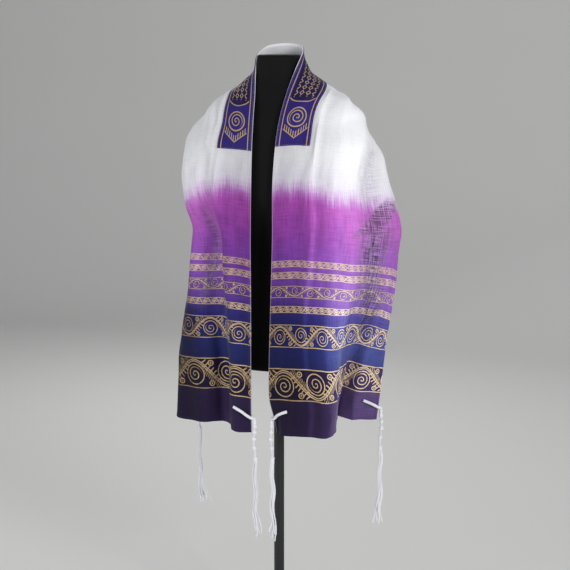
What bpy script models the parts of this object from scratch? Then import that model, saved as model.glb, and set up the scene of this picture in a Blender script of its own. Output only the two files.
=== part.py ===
"""A tallit prayer shawl on a limbless dress form.

Metres, +Z up. The form faces -Y. The origin is the middle of the stand's foot, on the floor.
The shawl is one rectangle of cloth. Its neck edge runs from hem to hem round the back of the neck.
Along it, a station is a distance from the centre back, from -CUT_LENGTH / 2 to CUT_LENGTH / 2.
Across it, a rib runs from the neck edge to the selvedge, which is CUT_WIDTH away.
"""

import math

import bmesh
import bpy
import numpy as np

# --- driving dimensions -------------------------------------------------------------------------
CUT_LENGTH = 2.05
CUT_WIDTH = 0.45
CLOTH_WALL = 0.0018
SEAM_GAP = 0.0003
LAY_GAP = 0.0028  # between the form and the cloth that lies on it

BAND_WIDTH = 0.088  # the neckband, sewn along the neck edge
BAND_LENGTH = 0.706
BAND_OFFSET = -0.006  # its middle is this far to the left of the nape
BAND_WALL = 0.0012

BASE_RADIUS = 0.18
BASE_THICKNESS = 0.014
HUB_RADIUS = 0.03
HUB_HEIGHT = 0.035
POLE_RADIUS = 0.0125

ROUNDNESS = 2.3  # exponent of the superellipse that each ring follows

# The dress form's rings, from its flat underside to the flat top of its neck.
RING_COLUMNS = ("height", "left", "right", "front", "back", "set_back")
FORM_RINGS = (
    (0.680, 0.148, 0.148, 0.096, 0.102, 0.000),
    (0.700, 0.156, 0.156, 0.104, 0.111, 0.000),
    (0.780, 0.159, 0.159, 0.108, 0.115, 0.000),
    (0.870, 0.149, 0.149, 0.105, 0.106, 0.000),
    (0.960, 0.131, 0.131, 0.108, 0.081, 0.008),
    (1.030, 0.141, 0.141, 0.124, 0.078, 0.016),
    (1.110, 0.163, 0.163, 0.149, 0.077, 0.028),
    (1.175, 0.180, 0.180, 0.152, 0.074, 0.036),
    (1.230, 0.190, 0.190, 0.146, 0.070, 0.040),
    (1.265, 0.187, 0.187, 0.136, 0.068, 0.038),
    (1.288, 0.176, 0.180, 0.123, 0.068, 0.034),
    (1.303, 0.159, 0.170, 0.110, 0.070, 0.028),
    (1.320, 0.133, 0.155, 0.094, 0.072, 0.020),
    (1.340, 0.105, 0.126, 0.077, 0.071, 0.011),
    (1.360, 0.067, 0.080, 0.058, 0.065, 0.003),
    (1.374, 0.053, 0.053, 0.052, 0.059, 0.000),
    (1.392, 0.049, 0.049, 0.050, 0.054, 0.000),
    (1.420, 0.050, 0.050, 0.050, 0.052, 0.000),
)

# The bell that the cloth hangs in below the shoulder tips.
BELL_RINGS = (
    (0.500, 0.228, 0.238, 0.166, 0.140, 0.000),
    (0.620, 0.223, 0.250, 0.164, 0.144, 0.000),
    (0.750, 0.219, 0.264, 0.160, 0.148, 0.000),
    (0.900, 0.207, 0.286, 0.155, 0.150, 0.000),
    (1.000, 0.202, 0.290, 0.155, 0.143, 0.005),
    (1.080, 0.228, 0.264, 0.158, 0.132, 0.012),
    (1.150, 0.241, 0.240, 0.163, 0.112, 0.023),
    (1.210, 0.232, 0.228, 0.163, 0.097, 0.034),
)

# Above the shoulder tips the cloth lies on the form; round the neck it stands up as a collar.
COLLAR_RINGS = (
    (1.366, 0.077, 0.094, 0.066, 0.073, 0.000),
    (1.385, 0.060, 0.066, 0.062, 0.066, 0.000),
    (1.415, 0.056, 0.056, 0.060, 0.062, 0.000),
    (1.450, 0.057, 0.057, 0.058, 0.061, 0.000),
)
LAY_FROM, LAY_TO = 1.25, 1.35

# One row for each rib. Turns are in plan, from 0 at the front to 180 degrees at the back.
STATION_COLUMNS = (
    "station", "left_edge_x", "right_edge_x", "edge_y", "edge_z",
    "middle_turn", "middle_z", "left_turn", "right_turn", "selvedge_z",
)
STATIONS = (
    (0.00, 0.000, 0.000, 0.060, 1.446, 180, 1.250, 180, 180, 1.015),
    (0.05, 0.043, 0.042, 0.042, 1.440, 157, 1.255, 167, 167, 1.020),
    (0.10, 0.054, 0.056, 0.003, 1.420, 136, 1.264, 156, 156, 1.043),
    (0.16, 0.043, 0.051, -0.040, 1.378, 116, 1.284, 146, 145, 1.082),
    (0.22, 0.031, 0.045, -0.075, 1.331, 97, 1.288, 138, 136, 1.122),
    (0.28, 0.024, 0.040, -0.104, 1.279, 80, 1.262, 131, 127, 1.149),
    (0.34, 0.021, 0.036, -0.121, 1.222, 66, 1.214, 123, 117, 1.150),
    (0.44, 0.018, 0.034, -0.136, 1.125, 57, 1.130, 119, 107, 1.080),
    (0.56, 0.017, 0.036, -0.143, 1.006, 59, 1.008, 124, 103, 0.960),
    (0.72, 0.014, 0.034, -0.150, 0.847, 61, 0.846, 123, 99, 0.808),
    (0.88, 0.012, 0.032, -0.156, 0.688, 60, 0.687, 107, 97, 0.668),
    (1.04, 0.010, 0.034, -0.160, 0.530, 58, 0.536, 93, 93, 0.548),
)

# Folds run lengthwise. at_shoulder and at_hem are shares of the rib's bare length. A ridge's
# depth is positive and a trough's negative. lean tips the fold towards the selvedge, in degrees.
FOLD_COLUMNS = (
    "at_shoulder", "at_hem", "inner_half", "outer_half", "depth", "lean",
    "from_station", "full_station", "gone_station",
)
RIGHT_FOLDS = (
    (0.00, 0.00, 0.01, 0.11, -0.22, 20, 0.92, 1.03, 2.00),
    (0.30, 0.27, 0.05, 0.05, 0.40, 0, 0.14, 0.28, 0.70),
    (0.52, 0.44, 0.13, 0.13, 0.50, 0, 0.12, 0.30, 0.80),
    (0.82, 0.82, 0.12, 0.14, 0.50, 0, 0.25, 0.38, 0.62),
    (0.42, 0.41, 0.09, 0.08, 0.19, 0, 0.66, 1.03, 2.00),
    (0.60, 0.58, 0.13, 0.30, -0.90, 16, 0.60, 1.03, 2.00),
    (0.86, 0.87, 0.12, 0.13, -0.32, 0, 0.60, 1.00, 2.00),
)
LEFT_FOLDS = (
    (0.00, 0.00, 0.01, 0.08, -0.15, 20, 0.94, 1.03, 2.00),
    (0.33, 0.26, 0.06, 0.07, 0.50, 0, 0.14, 0.28, 0.60),
    (0.54, 0.54, 0.12, 0.14, 0.50, 0, 0.12, 0.30, 0.70),
    (0.82, 0.82, 0.14, 0.14, 0.50, 0, 0.20, 0.35, 0.70),
    (0.46, 0.20, 0.06, 0.28, -0.92, 20, 0.38, 0.72, 2.00),
    (0.58, 0.62, 0.14, 0.16, 0.30, 0, 0.52, 0.80, 2.00),
    (0.66, 0.86, 0.13, 0.14, -0.50, 0, 0.42, 0.76, 2.00),
)
SHALLOW_FOLDS, DEEP_FOLDS = 0.022, 0.14  # the deepest that folds go, on the shoulder and below
DEEPER_FROM, DEEPER_TO = 0.30, 0.75
FOLD_SLOPE = 1.25  # 1 for a fold with a round top, and more for a flat one
CREASE_ROUNDING = 60  # passes that round the sharpest creases across the cloth

# The grid of the cloth. Stations are closer together over the shoulders.
SHOULDER_END = 0.40
SHOULDER_STEPS = 22
HANGING_STEPS = 20
BAND_INSET = 0.004
BAND_STEPS = 4
FOLD_ZONE_END = 0.35
FOLD_ZONE_STEPS = 20
OUTER_STEPS = 6

# The tassels. The eyelet is this far from the hem and from the side edge, and the cord goes over
# the side edge lower down.
EYELET_FROM_HEM = 0.060
EYELET_FROM_EDGE = 0.045
CROSSING_FROM_HEM = 0.038
CORD_RADIUS = 0.0022
WINDING_RADIUS = 0.0025
KNOT_RADIUS = 0.0036
KNOT_HALF = 0.0035
FIRST_KNOT = 0.016  # below the edge that the cord goes over
KNOT_GAPS = (0.014, 0.017, 0.022, 0.026)  # between the five double knots
STRAND_ROOT = 0.006
STRAND_LENGTH = 0.185
STRAND_STEPS = 4
STRAND_SPREAD = 0.0045
TASSELS = (
    # name, side of the wearer, which edge, how far its strands are from plumb at their ends
    ("tzitzit_inner_right", -1, "neck", 0.002),
    ("tzitzit_inner_left", 1, "neck", 0.005),
    ("tzitzit_outer_right", -1, "selvedge", 0.006),
    ("tzitzit_outer_left", 1, "selvedge", -0.005),
)

COLOURS = {
    "shawl": (0.78, 0.76, 0.82, 1.0),
    "atarah": (0.05, 0.03, 0.20, 1.0),
    "tassel": (0.85, 0.85, 0.83, 1.0),
    "form": (0.02, 0.02, 0.022, 1.0),
    "steel": (0.03, 0.03, 0.032, 1.0),
}


def column(rows, names, name):
    """One named column of a table, as an array."""
    return np.array([row[names.index(name)] for row in rows], float)


def smooth(at, known_at, known):
    """A curve through known points that doesn't swing past them, read at any place."""
    known_at, known, at = (np.asarray(a, float) for a in (known_at, known, at))
    step = np.diff(known_at)
    rise = np.diff(known) / step
    slope = np.zeros(len(known))
    same_way = rise[:-1] * rise[1:] > 0
    weight_a, weight_b = 2 * step[1:] + step[:-1], step[1:] + 2 * step[:-1]
    safe = np.where(same_way, rise[:-1] * rise[1:], 1.0)
    mean = (weight_a + weight_b) * safe / (weight_a * rise[1:] + weight_b * rise[:-1] + 1e-30)
    slope[1:-1] = np.where(same_way, mean, 0.0)
    slope[0], slope[-1] = rise[0], rise[-1]
    i = np.clip(np.searchsorted(known_at, at) - 1, 0, len(step) - 1)
    t = np.clip((at - known_at[i]) / step[i], 0, 1)
    h = step[i]
    return (
        (1 + 2 * t) * (1 - t) ** 2 * known[i]
        + t * (1 - t) ** 2 * h * slope[i]
        + t * t * (3 - 2 * t) * known[i + 1]
        + t * t * (t - 1) * h * slope[i + 1]
    )


def ease(t):
    """0 below 0, 1 above 1, and smooth between."""
    t = np.clip(t, 0, 1)
    return t * t * (3 - 2 * t)


def ring_reach(turn, side, front, back):
    """How far a superellipse reaches in the direction turn, in radians from the front."""
    depth = np.where(np.cos(turn) > 0, front, back)
    across, along = np.abs(np.sin(turn)) / side, np.abs(np.cos(turn)) / depth
    return (across ** ROUNDNESS + along ** ROUNDNESS) ** (-1 / ROUNDNESS)


def drape_rings():
    """The rings that the cloth's middle follows, from the hem to the top of the collar."""
    lying = []
    clear = LAY_GAP + CLOTH_WALL / 2
    height, side = (column(FORM_RINGS, RING_COLUMNS, name) for name in ("height", "right"))
    for row, slope in zip(FORM_RINGS, np.gradient(side, height)):
        if LAY_FROM < row[0] < LAY_TO:
            out = clear / math.hypot(1, slope)
            up = out * abs(slope)
            lying.append((row[0] + up, row[1] + out, row[2] + out, row[3] + out, row[4] + out,
                          row[5]))
    return BELL_RINGS + tuple(lying) + COLLAR_RINGS


def station_values(stations):
    """The station table read at any stations, by column name."""
    rows = column(STATIONS, STATION_COLUMNS, "station")
    places = np.concatenate([-rows[:0:-1], rows])
    read = {}
    for name in ("edge_y", "edge_z", "middle_turn", "middle_z", "selvedge_z"):
        values = column(STATIONS, STATION_COLUMNS, name)
        read[name] = smooth(stations, places, np.concatenate([values[:0:-1], values]))
    for name, sign in (("edge_x", -1), ("turn", 1)):
        left = sign * column(STATIONS, STATION_COLUMNS, "left_" + name)
        right = column(STATIONS, STATION_COLUMNS, "right_" + name)
        read[name] = smooth(stations, places, np.concatenate([left[:0:-1], right]))
    return read


def bare_cloth(stations, shares):
    """The cloth without its folds: an array of points, a row for each station."""
    rings = drape_rings()
    ring_z = column(rings, RING_COLUMNS, "height")
    sizes = {n: column(rings, RING_COLUMNS, n) for n in RING_COLUMNS[1:]}
    read = station_values(stations)
    hand = np.where(stations < 0, -1.0, 1.0)

    def reach_at(turn, z, right):
        side = np.where(
            right > 0, smooth(z, ring_z, sizes["right"]), smooth(z, ring_z, sizes["left"])
        )
        return ring_reach(
            turn, side, smooth(z, ring_z, sizes["front"]), smooth(z, ring_z, sizes["back"])
        )

    edge_y = read["edge_y"] - smooth(read["edge_z"], ring_z, sizes["set_back"])
    edge_turn = np.arctan2(np.abs(read["edge_x"]), -edge_y)
    edge_out = np.hypot(read["edge_x"], edge_y) / reach_at(edge_turn, read["edge_z"], hand)
    t = shares[None, :]
    first, middle, last = (1 - t) * (1 - 2 * t), 4 * t * (1 - t), t * (2 * t - 1)
    turns = [edge_turn, np.radians(read["middle_turn"]), np.radians(read["turn"])]
    heights = [read["edge_z"], read["middle_z"], read["selvedge_z"]]
    turn = first * turns[0][:, None] + middle * turns[1][:, None] + last * turns[2][:, None]
    z = first * heights[0][:, None] + middle * heights[1][:, None] + last * heights[2][:, None]
    out = 1 + (edge_out[:, None] - 1) * (1 - ease(t / 0.35))
    reach = reach_at(turn, z, hand[:, None] * np.ones_like(z)) * out
    back = smooth(z, ring_z, sizes["set_back"])
    return np.stack([hand[:, None] * reach * np.sin(turn), back - reach * np.cos(turn), z], axis=2)


def grid_directions(points):
    """Unit vectors of a grid of points: out of the cloth, and along the rib to the selvedge."""
    along = np.gradient(points, axis=0)
    across = np.gradient(points, axis=1)
    normal = np.cross(along, across)
    normal /= np.maximum(np.linalg.norm(normal, axis=2, keepdims=True), 1e-12)
    across /= np.maximum(np.linalg.norm(across, axis=2, keepdims=True), 1e-12)
    return normal, across


def rib_lengths(points):
    return np.linalg.norm(np.diff(points, axis=1), axis=2).sum(axis=1)


def fold_pattern(stations, shares, normal, across):
    """How far the folds move each point, before they are given their depth."""
    move = np.zeros(normal.shape)
    for hand, folds in ((1, RIGHT_FOLDS), (-1, LEFT_FOLDS)):
        down = hand * stations
        for at_top, at_hem, inner, outer, depth, lean, start, full, gone in folds:
            middle = at_top + (at_hem - at_top) * ease((down - 0.15) / 0.85)
            grown = ease((down - start) / (full - start)) * (down > 0)
            grown = grown * (1 - ease((down - full) / (gone - full)))
            offset = shares[None, :] - middle[:, None]
            offset = offset / np.where(offset < 0, inner, outer)
            bump = ease(FOLD_SLOPE * (1 - np.abs(offset)))
            amount = (depth * grown[:, None] * bump)[:, :, None]
            tip = math.radians(lean) * (1 if depth > 0 else -1)
            move += amount * (math.cos(tip) * normal + math.sin(tip) * across)
    return move


def draped_cloth(stations, across):
    """The cloth's middle surface. Each fold is as deep as the rib's spare width makes it."""
    shares = np.linspace(0, 1, 241)
    bare = bare_cloth(stations, shares)
    move = fold_pattern(stations, shares, *grid_directions(bare))
    shallow = np.zeros(len(stations))
    deep = ease((np.abs(stations) - DEEPER_FROM) / (DEEPER_TO - DEEPER_FROM))
    deep = SHALLOW_FOLDS + (DEEP_FOLDS - SHALLOW_FOLDS) * deep
    for _ in range(24):
        depth = (shallow + deep) / 2
        short = rib_lengths(bare + depth[:, None, None] * move) < CUT_WIDTH
        shallow, deep = np.where(short, depth, shallow), np.where(short, deep, depth)
    folded = bare + ((shallow + deep) / 2)[:, None, None] * move
    for _ in range(CREASE_ROUNDING):
        folded[:, 1:-1] = (folded[:, :-2] + 2 * folded[:, 1:-1] + folded[:, 2:]) / 4
    surface = np.zeros((len(stations), len(across), 3))
    for i, rib in enumerate(folded):
        run = np.concatenate([[0], np.cumsum(np.linalg.norm(np.diff(rib, axis=0), axis=1))])
        for k in range(3):
            surface[i, :, k] = np.interp(across / CUT_WIDTH * run[-1], run, rib[:, k])
    return surface


def cloth_stations():
    """Stations from the left hem to the right hem."""
    upper = np.linspace(0, SHOULDER_END, SHOULDER_STEPS + 1)
    lower = np.linspace(SHOULDER_END, CUT_LENGTH / 2, HANGING_STEPS + 1)[1:]
    half = np.concatenate([upper, lower])
    stations = np.concatenate([-half[:0:-1], half])
    for end in (-0.5, 0.5):
        place = BAND_OFFSET + end * BAND_LENGTH
        stations[np.abs(stations - place).argmin()] = place
    return stations


def cloth_across():
    """Distances across the cloth, from the neck edge to the selvedge."""
    return np.concatenate([
        [0],
        np.linspace(BAND_INSET, BAND_WIDTH, BAND_STEPS + 1),
        np.linspace(BAND_WIDTH, FOLD_ZONE_END, FOLD_ZONE_STEPS + 1)[1:],
        np.linspace(FOLD_ZONE_END, CUT_WIDTH, OUTER_STEPS + 1)[1:],
    ])


# --- building -----------------------------------------------------------------------------------


def material(name):
    made = bpy.data.materials.get(name) or bpy.data.materials.new(name)
    made.use_nodes = True
    made.node_tree.nodes["Principled BSDF"].inputs["Base Color"].default_value = COLOURS[name]
    return made


def add_object(mesh, name, colour, home):
    mesh.materials.append(material(colour))
    made = bpy.data.objects.new(name, mesh)
    home.objects.link(made)
    return made


def bake(made):
    """Replace an object's mesh with what its modifiers make of it."""
    seen = made.evaluated_get(bpy.context.evaluated_depsgraph_get())
    baked = bpy.data.meshes.new_from_object(seen)
    made.modifiers.clear()
    made.data = baked
    return baked


def cloth_piece(points, wall, name, colour, home):
    """A sheet of cloth: a grid of points with its wall half in front and half behind."""
    rows, columns = points.shape[:2]
    bm = bmesh.new()
    made = bmesh.ops.create_grid(bm, x_segments=rows - 1, y_segments=columns - 1, size=1)["verts"]
    for vert in made:
        i = round((vert.co.x + 1) / 2 * (rows - 1))
        j = round((vert.co.y + 1) / 2 * (columns - 1))
        vert.co = points[i, j]
    mesh = bpy.data.meshes.new(name)
    bm.to_mesh(mesh)
    bm.free()
    cloth = add_object(mesh, name, colour, home)
    solid = cloth.modifiers.new("Wall", "SOLIDIFY")
    solid.thickness = wall
    solid.offset = 0
    solid.use_even_offset = False
    return cloth


def turned(profile, name, colour, home, segments=36):
    """A body turned about the vertical axis from a profile of (radius, height)."""
    bm = bmesh.new()
    verts = [bm.verts.new((radius, 0, height)) for radius, height in profile]
    edges = [bm.edges.new(pair) for pair in zip(verts, verts[1:])]
    bmesh.ops.spin(
        bm, geom=verts + edges, axis=(0, 0, 1), cent=(0, 0, 0), steps=segments,
        angle=2 * math.pi,
    )
    bmesh.ops.remove_doubles(bm, verts=bm.verts, dist=1e-4)
    bmesh.ops.recalc_face_normals(bm, faces=bm.faces)
    mesh = bpy.data.meshes.new(name)
    bm.to_mesh(mesh)
    bm.free()
    return add_object(mesh, name, colour, home)


def ring_body(rings, name, colour, home):
    """A closed body through rings: a turned one whose every ring is then given its own shape."""
    levels = range(len(rings))
    profile = [(0, 0)] + [(1, level) for level in levels] + [(0, len(rings) - 1)]
    body = turned(profile, name, colour, home)
    for vert in body.data.vertices:
        height, left, right, front, back, set_back = rings[round(vert.co.z)]
        out = 0
        turn = math.atan2(vert.co.x, -vert.co.y)
        if math.hypot(vert.co.x, vert.co.y) > 0.5:
            out = float(ring_reach(turn, right if turn > 0 else left, front, back))
        vert.co = (out * math.sin(turn), set_back - out * math.cos(turn), height)
    return body


def tube(path, radii, name, home, sides=3):
    """A capped round tube whose radius changes along its path."""
    curve = bpy.data.curves.new(name, "CURVE")
    curve.dimensions = "3D"
    curve.bevel_depth = 1
    curve.bevel_resolution = sides - 1
    curve.use_fill_caps = True
    line = curve.splines.new("POLY")
    line.points.add(len(path) - 1)
    for point, place, radius in zip(line.points, path, radii):
        point.co = (*place, 1)
        point.radius = radius
    made = bpy.data.objects.new(name, curve)
    home.objects.link(made)
    mesh = bpy.data.meshes.new_from_object(made)
    bpy.data.objects.remove(made)
    bpy.data.curves.remove(curve)
    return mesh


def cloth_reader(stations, across, points):
    """A function that gives the point and the outward normal at any place on the cloth."""
    normal, _ = grid_directions(points)

    def read(station, distance):
        i = int(np.clip(np.searchsorted(stations, station) - 1, 0, len(stations) - 2))
        j = int(np.clip(np.searchsorted(across, distance) - 1, 0, len(across) - 2))
        a = (station - stations[i]) / (stations[i + 1] - stations[i])
        b = (distance - across[j]) / (across[j + 1] - across[j])
        mixed = []
        for grid in (points, normal):
            low = grid[i, j] * (1 - b) + grid[i, j + 1] * b
            high = grid[i + 1, j] * (1 - b) + grid[i + 1, j + 1] * b
            mixed.append(low * (1 - a) + high * a)
        return mixed[0], mixed[1] / np.linalg.norm(mixed[1])

    return read


def cord_run(read, hand, edge, face):
    """The cord's path on one face of the cloth: from the eyelet, over the side edge."""
    side_edge = 0.0 if edge == "neck" else CUT_WIDTH
    inward = 1 if edge == "neck" else -1
    off = CLOTH_WALL / 2 + 3 * SEAM_GAP + CORD_RADIUS
    drop = EYELET_FROM_HEM - CROSSING_FROM_HEM
    path = []
    for t in np.linspace(0, 1, 12):
        station = hand * (CUT_LENGTH / 2 - EYELET_FROM_HEM + drop * t ** 1.3)
        point, normal = read(station, side_edge + inward * EYELET_FROM_EDGE * (1 - t))
        path.append(point + face * (off + 0.0018 * math.sin(math.pi * t)) * normal)
    crossing = CUT_LENGTH / 2 - CROSSING_FROM_HEM
    outer, normal = read(hand * crossing, side_edge)
    inner, _ = read(hand * crossing, side_edge + inward * 0.006)
    out = (outer - inner) * (1, 1, 0)
    out /= np.linalg.norm(out)
    path.append(outer + face * 0.75 * off * normal + 0.9 * off * out)
    below = [read(hand * s, side_edge)[0] for s in np.linspace(crossing, CUT_LENGTH / 2, 6)]
    reach = max((point - outer) @ out for point in below) + 1.4 * off
    path.append(outer + reach * out - np.array([0, 0, 0.8 * off]))
    return path


def tassel(read, name, hand, edge, drift, home):
    """A tassel: cord on both faces of the cloth, a wound and knotted head, and its strands."""
    path = cord_run(read, hand, edge, 1)
    radii = [CORD_RADIUS] * len(path)
    top = path[-1]
    depth = FIRST_KNOT
    for gap in KNOT_GAPS + (KNOT_HALF * 1.6,):
        for at, radius in ((-1.2, WINDING_RADIUS), (-0.7, KNOT_RADIUS), (0.7, KNOT_RADIUS),
                           (1.2, WINDING_RADIUS)):
            path.append(top - np.array([0, 0, depth + at * KNOT_HALF]))
            radii.append(radius)
        depth += gap
    head = tube(path, radii, name, home)
    tassel_object = add_object(head, name, "tassel", home)

    back_path = cord_run(read, hand, edge, -1)
    back_path.append(top - np.array([0, 0, FIRST_KNOT]))
    back_mesh = tube(back_path, [CORD_RADIUS * 0.9] * len(back_path), name + "_back", home, 2)
    back = bpy.data.objects.new(name + "_back", back_mesh)
    home.objects.link(back)
    join = tassel_object.modifiers.new("Join", "BOOLEAN")
    join.operation = "UNION"
    join.solver = "EXACT"
    join.object = back
    tassel_object.data = bake(tassel_object)
    bpy.data.objects.remove(back)

    bm = bmesh.new()
    bm.from_mesh(tassel_object.data)
    floor = min(vert.co.z for vert in bm.verts) + 0.0001
    cap = [face for face in bm.faces if face.calc_center_median().z < floor]
    cap = bmesh.ops.dissolve_faces(bm, faces=cap)["region"]
    roots = bmesh.ops.poke(bm, faces=cap)["faces"]
    bmesh.ops.inset_individual(bm, faces=roots, thickness=0.00025)
    middle = top - np.array([0, 0, depth])
    steps = [STRAND_ROOT] + [STRAND_LENGTH / STRAND_STEPS] * STRAND_STEPS
    fallen = swayed = 0
    for step in steps:
        roots = bmesh.ops.extrude_discrete_faces(bm, faces=roots)["faces"]
        fallen += step
        share = fallen / sum(steps)
        sway = drift * step / sum(steps) * 2 * share
        for face in roots:
            centre = face.calc_center_median()
            turn = math.atan2(centre.y - middle[1], centre.x - middle[0] - swayed)
            out = STRAND_SPREAD * (step / sum(steps)) * (1 + 0.6 * math.sin(7 * turn + 4 * share))
            move = (out * math.cos(turn) + sway, out * math.sin(turn), -step)
            bmesh.ops.translate(bm, verts=face.verts, vec=move)
        swayed += sway
    bmesh.ops.recalc_face_normals(bm, faces=bm.faces)
    bm.to_mesh(tassel_object.data)
    bm.free()
    return tassel_object


def main():
    for old in list(bpy.data.objects):
        bpy.data.objects.remove(old)
    home = bpy.data.collections.new("tallit_on_dress_form")
    bpy.context.scene.collection.children.link(home)

    stations, across = cloth_stations(), cloth_across()
    points = draped_cloth(stations, across)
    cloth_piece(points, CLOTH_WALL, "shawl", "shawl", home)

    normal, _ = grid_directions(points)
    first = int(np.abs(stations - (BAND_OFFSET - BAND_LENGTH / 2)).argmin())
    last = int(np.abs(stations - (BAND_OFFSET + BAND_LENGTH / 2)).argmin())
    off = CLOTH_WALL / 2 + SEAM_GAP * 1.3 + BAND_WALL / 2
    band = (points + off * normal)[first:last + 1, 1:BAND_STEPS + 2]
    cloth_piece(band, BAND_WALL, "atarah", "atarah", home)

    ring_body(FORM_RINGS, "dress_form", "form", home)
    hub_top = BASE_THICKNESS + HUB_HEIGHT
    turned(
        ((0, 0), (BASE_RADIUS, 0), (BASE_RADIUS, BASE_THICKNESS - 0.003),
         (BASE_RADIUS - 0.004, BASE_THICKNESS), (HUB_RADIUS + 0.006, BASE_THICKNESS),
         (HUB_RADIUS, BASE_THICKNESS + 0.006), (HUB_RADIUS - 0.004, hub_top), (0, hub_top)),
        "stand_base", "steel", home,
    )
    turned(
        ((0, hub_top + SEAM_GAP), (POLE_RADIUS, hub_top + SEAM_GAP),
         (POLE_RADIUS, FORM_RINGS[0][0] - SEAM_GAP), (0, FORM_RINGS[0][0] - SEAM_GAP)),
        "stand_pole", "steel", home, 24,
    )

    read = cloth_reader(stations, across, points)
    for name, hand, edge, drift in TASSELS:
        tassel(read, name, hand, edge, drift, home)


main()
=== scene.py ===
import math
from functools import partial

import bmesh
import bpy
import numpy as np
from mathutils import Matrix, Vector


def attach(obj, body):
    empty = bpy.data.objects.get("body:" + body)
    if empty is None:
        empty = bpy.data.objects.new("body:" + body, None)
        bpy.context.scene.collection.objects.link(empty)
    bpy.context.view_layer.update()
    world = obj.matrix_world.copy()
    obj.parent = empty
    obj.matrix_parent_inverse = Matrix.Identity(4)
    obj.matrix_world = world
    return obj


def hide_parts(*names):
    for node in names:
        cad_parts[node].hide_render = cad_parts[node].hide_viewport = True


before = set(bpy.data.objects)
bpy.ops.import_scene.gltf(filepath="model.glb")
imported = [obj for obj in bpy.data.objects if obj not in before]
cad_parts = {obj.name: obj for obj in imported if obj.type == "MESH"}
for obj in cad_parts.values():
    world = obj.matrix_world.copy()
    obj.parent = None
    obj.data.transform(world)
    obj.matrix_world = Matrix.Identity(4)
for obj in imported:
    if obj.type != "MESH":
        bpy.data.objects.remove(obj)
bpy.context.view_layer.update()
scene = bpy.context.scene
home = bpy.data.collections.new("tallitOnForm")
scene.collection.children.link(home)

# Lengths are in metres. -Y is the front, the floor is z = 0 and +X is the wearer's left. In the
# tables left is -X and right is +X, as seen from the front. Only the tassels go by the wearer.
# A place on the shawl is a station, along from the nape, and a distance across from the neck edge.


# camera, light and floor

view = {
    "azimuth": 20,
    "distance": 3.55,
    "height": 1.50,
    "aimHeight": 0.873,
    "sideways": 0.0144,
    "fieldOfView": 21.5,
}
light = {
    "world": 0.35,
    "worldColour": (0.93, 0.94, 0.96, 1),
    "exposure": 0.0,
    "aimHeight": 0.95,
    "lamps": {  # x, y, z, size across, watts
        "key": (3.0, -2.3, 2.1, 1.2, 84),
        "fill": (-2.4, -2.8, 1.6, 1.6, 42),
        "rim": (-1.2, 2.4, 2.4, 1.6, 26),
    },
}
cove = {
    "side": 9.0,
    "back": 3.2,
    "bend": 1.2,
    "wall": 3.4,
    "darker": "#DDDDDB",
    "lighter": "#E2E2E0",
}


def turnedAlong(aim):
    return aim.to_track_quat("-Z", "Y").to_euler()


def setCamera():
    turn = math.radians(view["azimuth"])
    place = Vector((math.sin(turn), -math.cos(turn), 0)) * view["distance"]
    place.z = view["height"]
    data = bpy.data.cameras.new("camera")
    data.angle = math.radians(view["fieldOfView"])
    camera = bpy.data.objects.new("camera", data)
    camera.location = place + Vector((math.cos(turn), math.sin(turn), 0)) * view["sideways"]
    camera.rotation_euler = turnedAlong(Vector((0, 0, view["aimHeight"])) - place)
    scene.collection.objects.link(camera)
    scene.camera = camera


def setLights():
    for name, (x, y, z, size, watts) in light["lamps"].items():
        data = bpy.data.lights.new(name, "AREA")
        data.size = size
        data.energy = watts
        lamp = bpy.data.objects.new(name, data)
        lamp.location = (x, y, z)
        lamp.rotation_euler = turnedAlong(Vector((0, 0, light["aimHeight"])) - lamp.location)
        scene.collection.objects.link(lamp)
    scene.world = bpy.data.worlds.new("studio")
    scene.world.use_nodes = True
    background = scene.world.node_tree.nodes["Background"]
    background.inputs["Color"].default_value = light["worldColour"]
    background.inputs["Strength"].default_value = light["world"]
    scene.view_settings.view_transform = "Standard"
    scene.view_settings.exposure = light["exposure"]


def makeFloor():
    side, back, bend = cove["side"], cove["back"], cove["bend"]
    outline = [(-side, 0)] + [
        (back + bend * math.sin(t), bend - bend * math.cos(t))
        for t in np.linspace(0, math.pi / 2, 13)
    ] + [(back + bend, cove["wall"])]
    rows = [[(x, y, z) for x in (-side, side)] for y, z in outline]
    floor = bpy.data.objects.new("floor", meshOfRows("floor", rows, 60, closed=False))
    floor.data.materials.append(mattEmulsion())
    home.objects.link(floor)


# small tools

def linear(hexColour):
    channels = (int(hexColour[k:k + 2], 16) / 255 for k in (1, 3, 5))
    return (*(c / 12.92 if c <= 0.04045 else ((c + 0.055) / 1.055) ** 2.4 for c in channels), 1)


# Adds a node. Its inputs are a dictionary, or stand in the order of the sockets in use: values,
# sockets, or nodes, which stand for their first output in use. A maths node goes by its operation.
def addNode(tree, kind, *inputs, **settings):
    node = tree.nodes.new("ShaderNodeMath" if kind.isupper() else kind)
    if kind.isupper():
        node.operation = kind
    for name, value in settings.items():
        setattr(node, name, value)
    if inputs and isinstance(inputs[0], dict):
        pairs = [(node.inputs[name], value) for name, value in inputs[0].items()]
    else:
        pairs = zip([socket for socket in node.inputs if socket.enabled], inputs)
    for socket, value in pairs:
        if isinstance(value, bpy.types.Node):
            value = next(output for output in value.outputs if output.enabled)
        if isinstance(value, bpy.types.NodeSocket):
            tree.links.new(value, socket)
        else:
            socket.default_value = value
    return node


# An empty material or node group, with what adds a node to it.
def newMaterial(name):
    made = bpy.data.materials.new(name)
    made.use_nodes = True
    made.node_tree.nodes.clear()
    return made, partial(addNode, made.node_tree)


def newGroup(name, kind, inputs, output):
    tree = bpy.data.node_groups.new(name, kind)
    for flow, sockets in (("INPUT", inputs), ("OUTPUT", output)):
        for label, holds in sockets.items():
            tree.interface.new_socket(label, in_out=flow, socket_type="NodeSocket" + holds)
    add = partial(addNode, tree)
    return tree, add, add("NodeGroupInput").outputs


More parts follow.
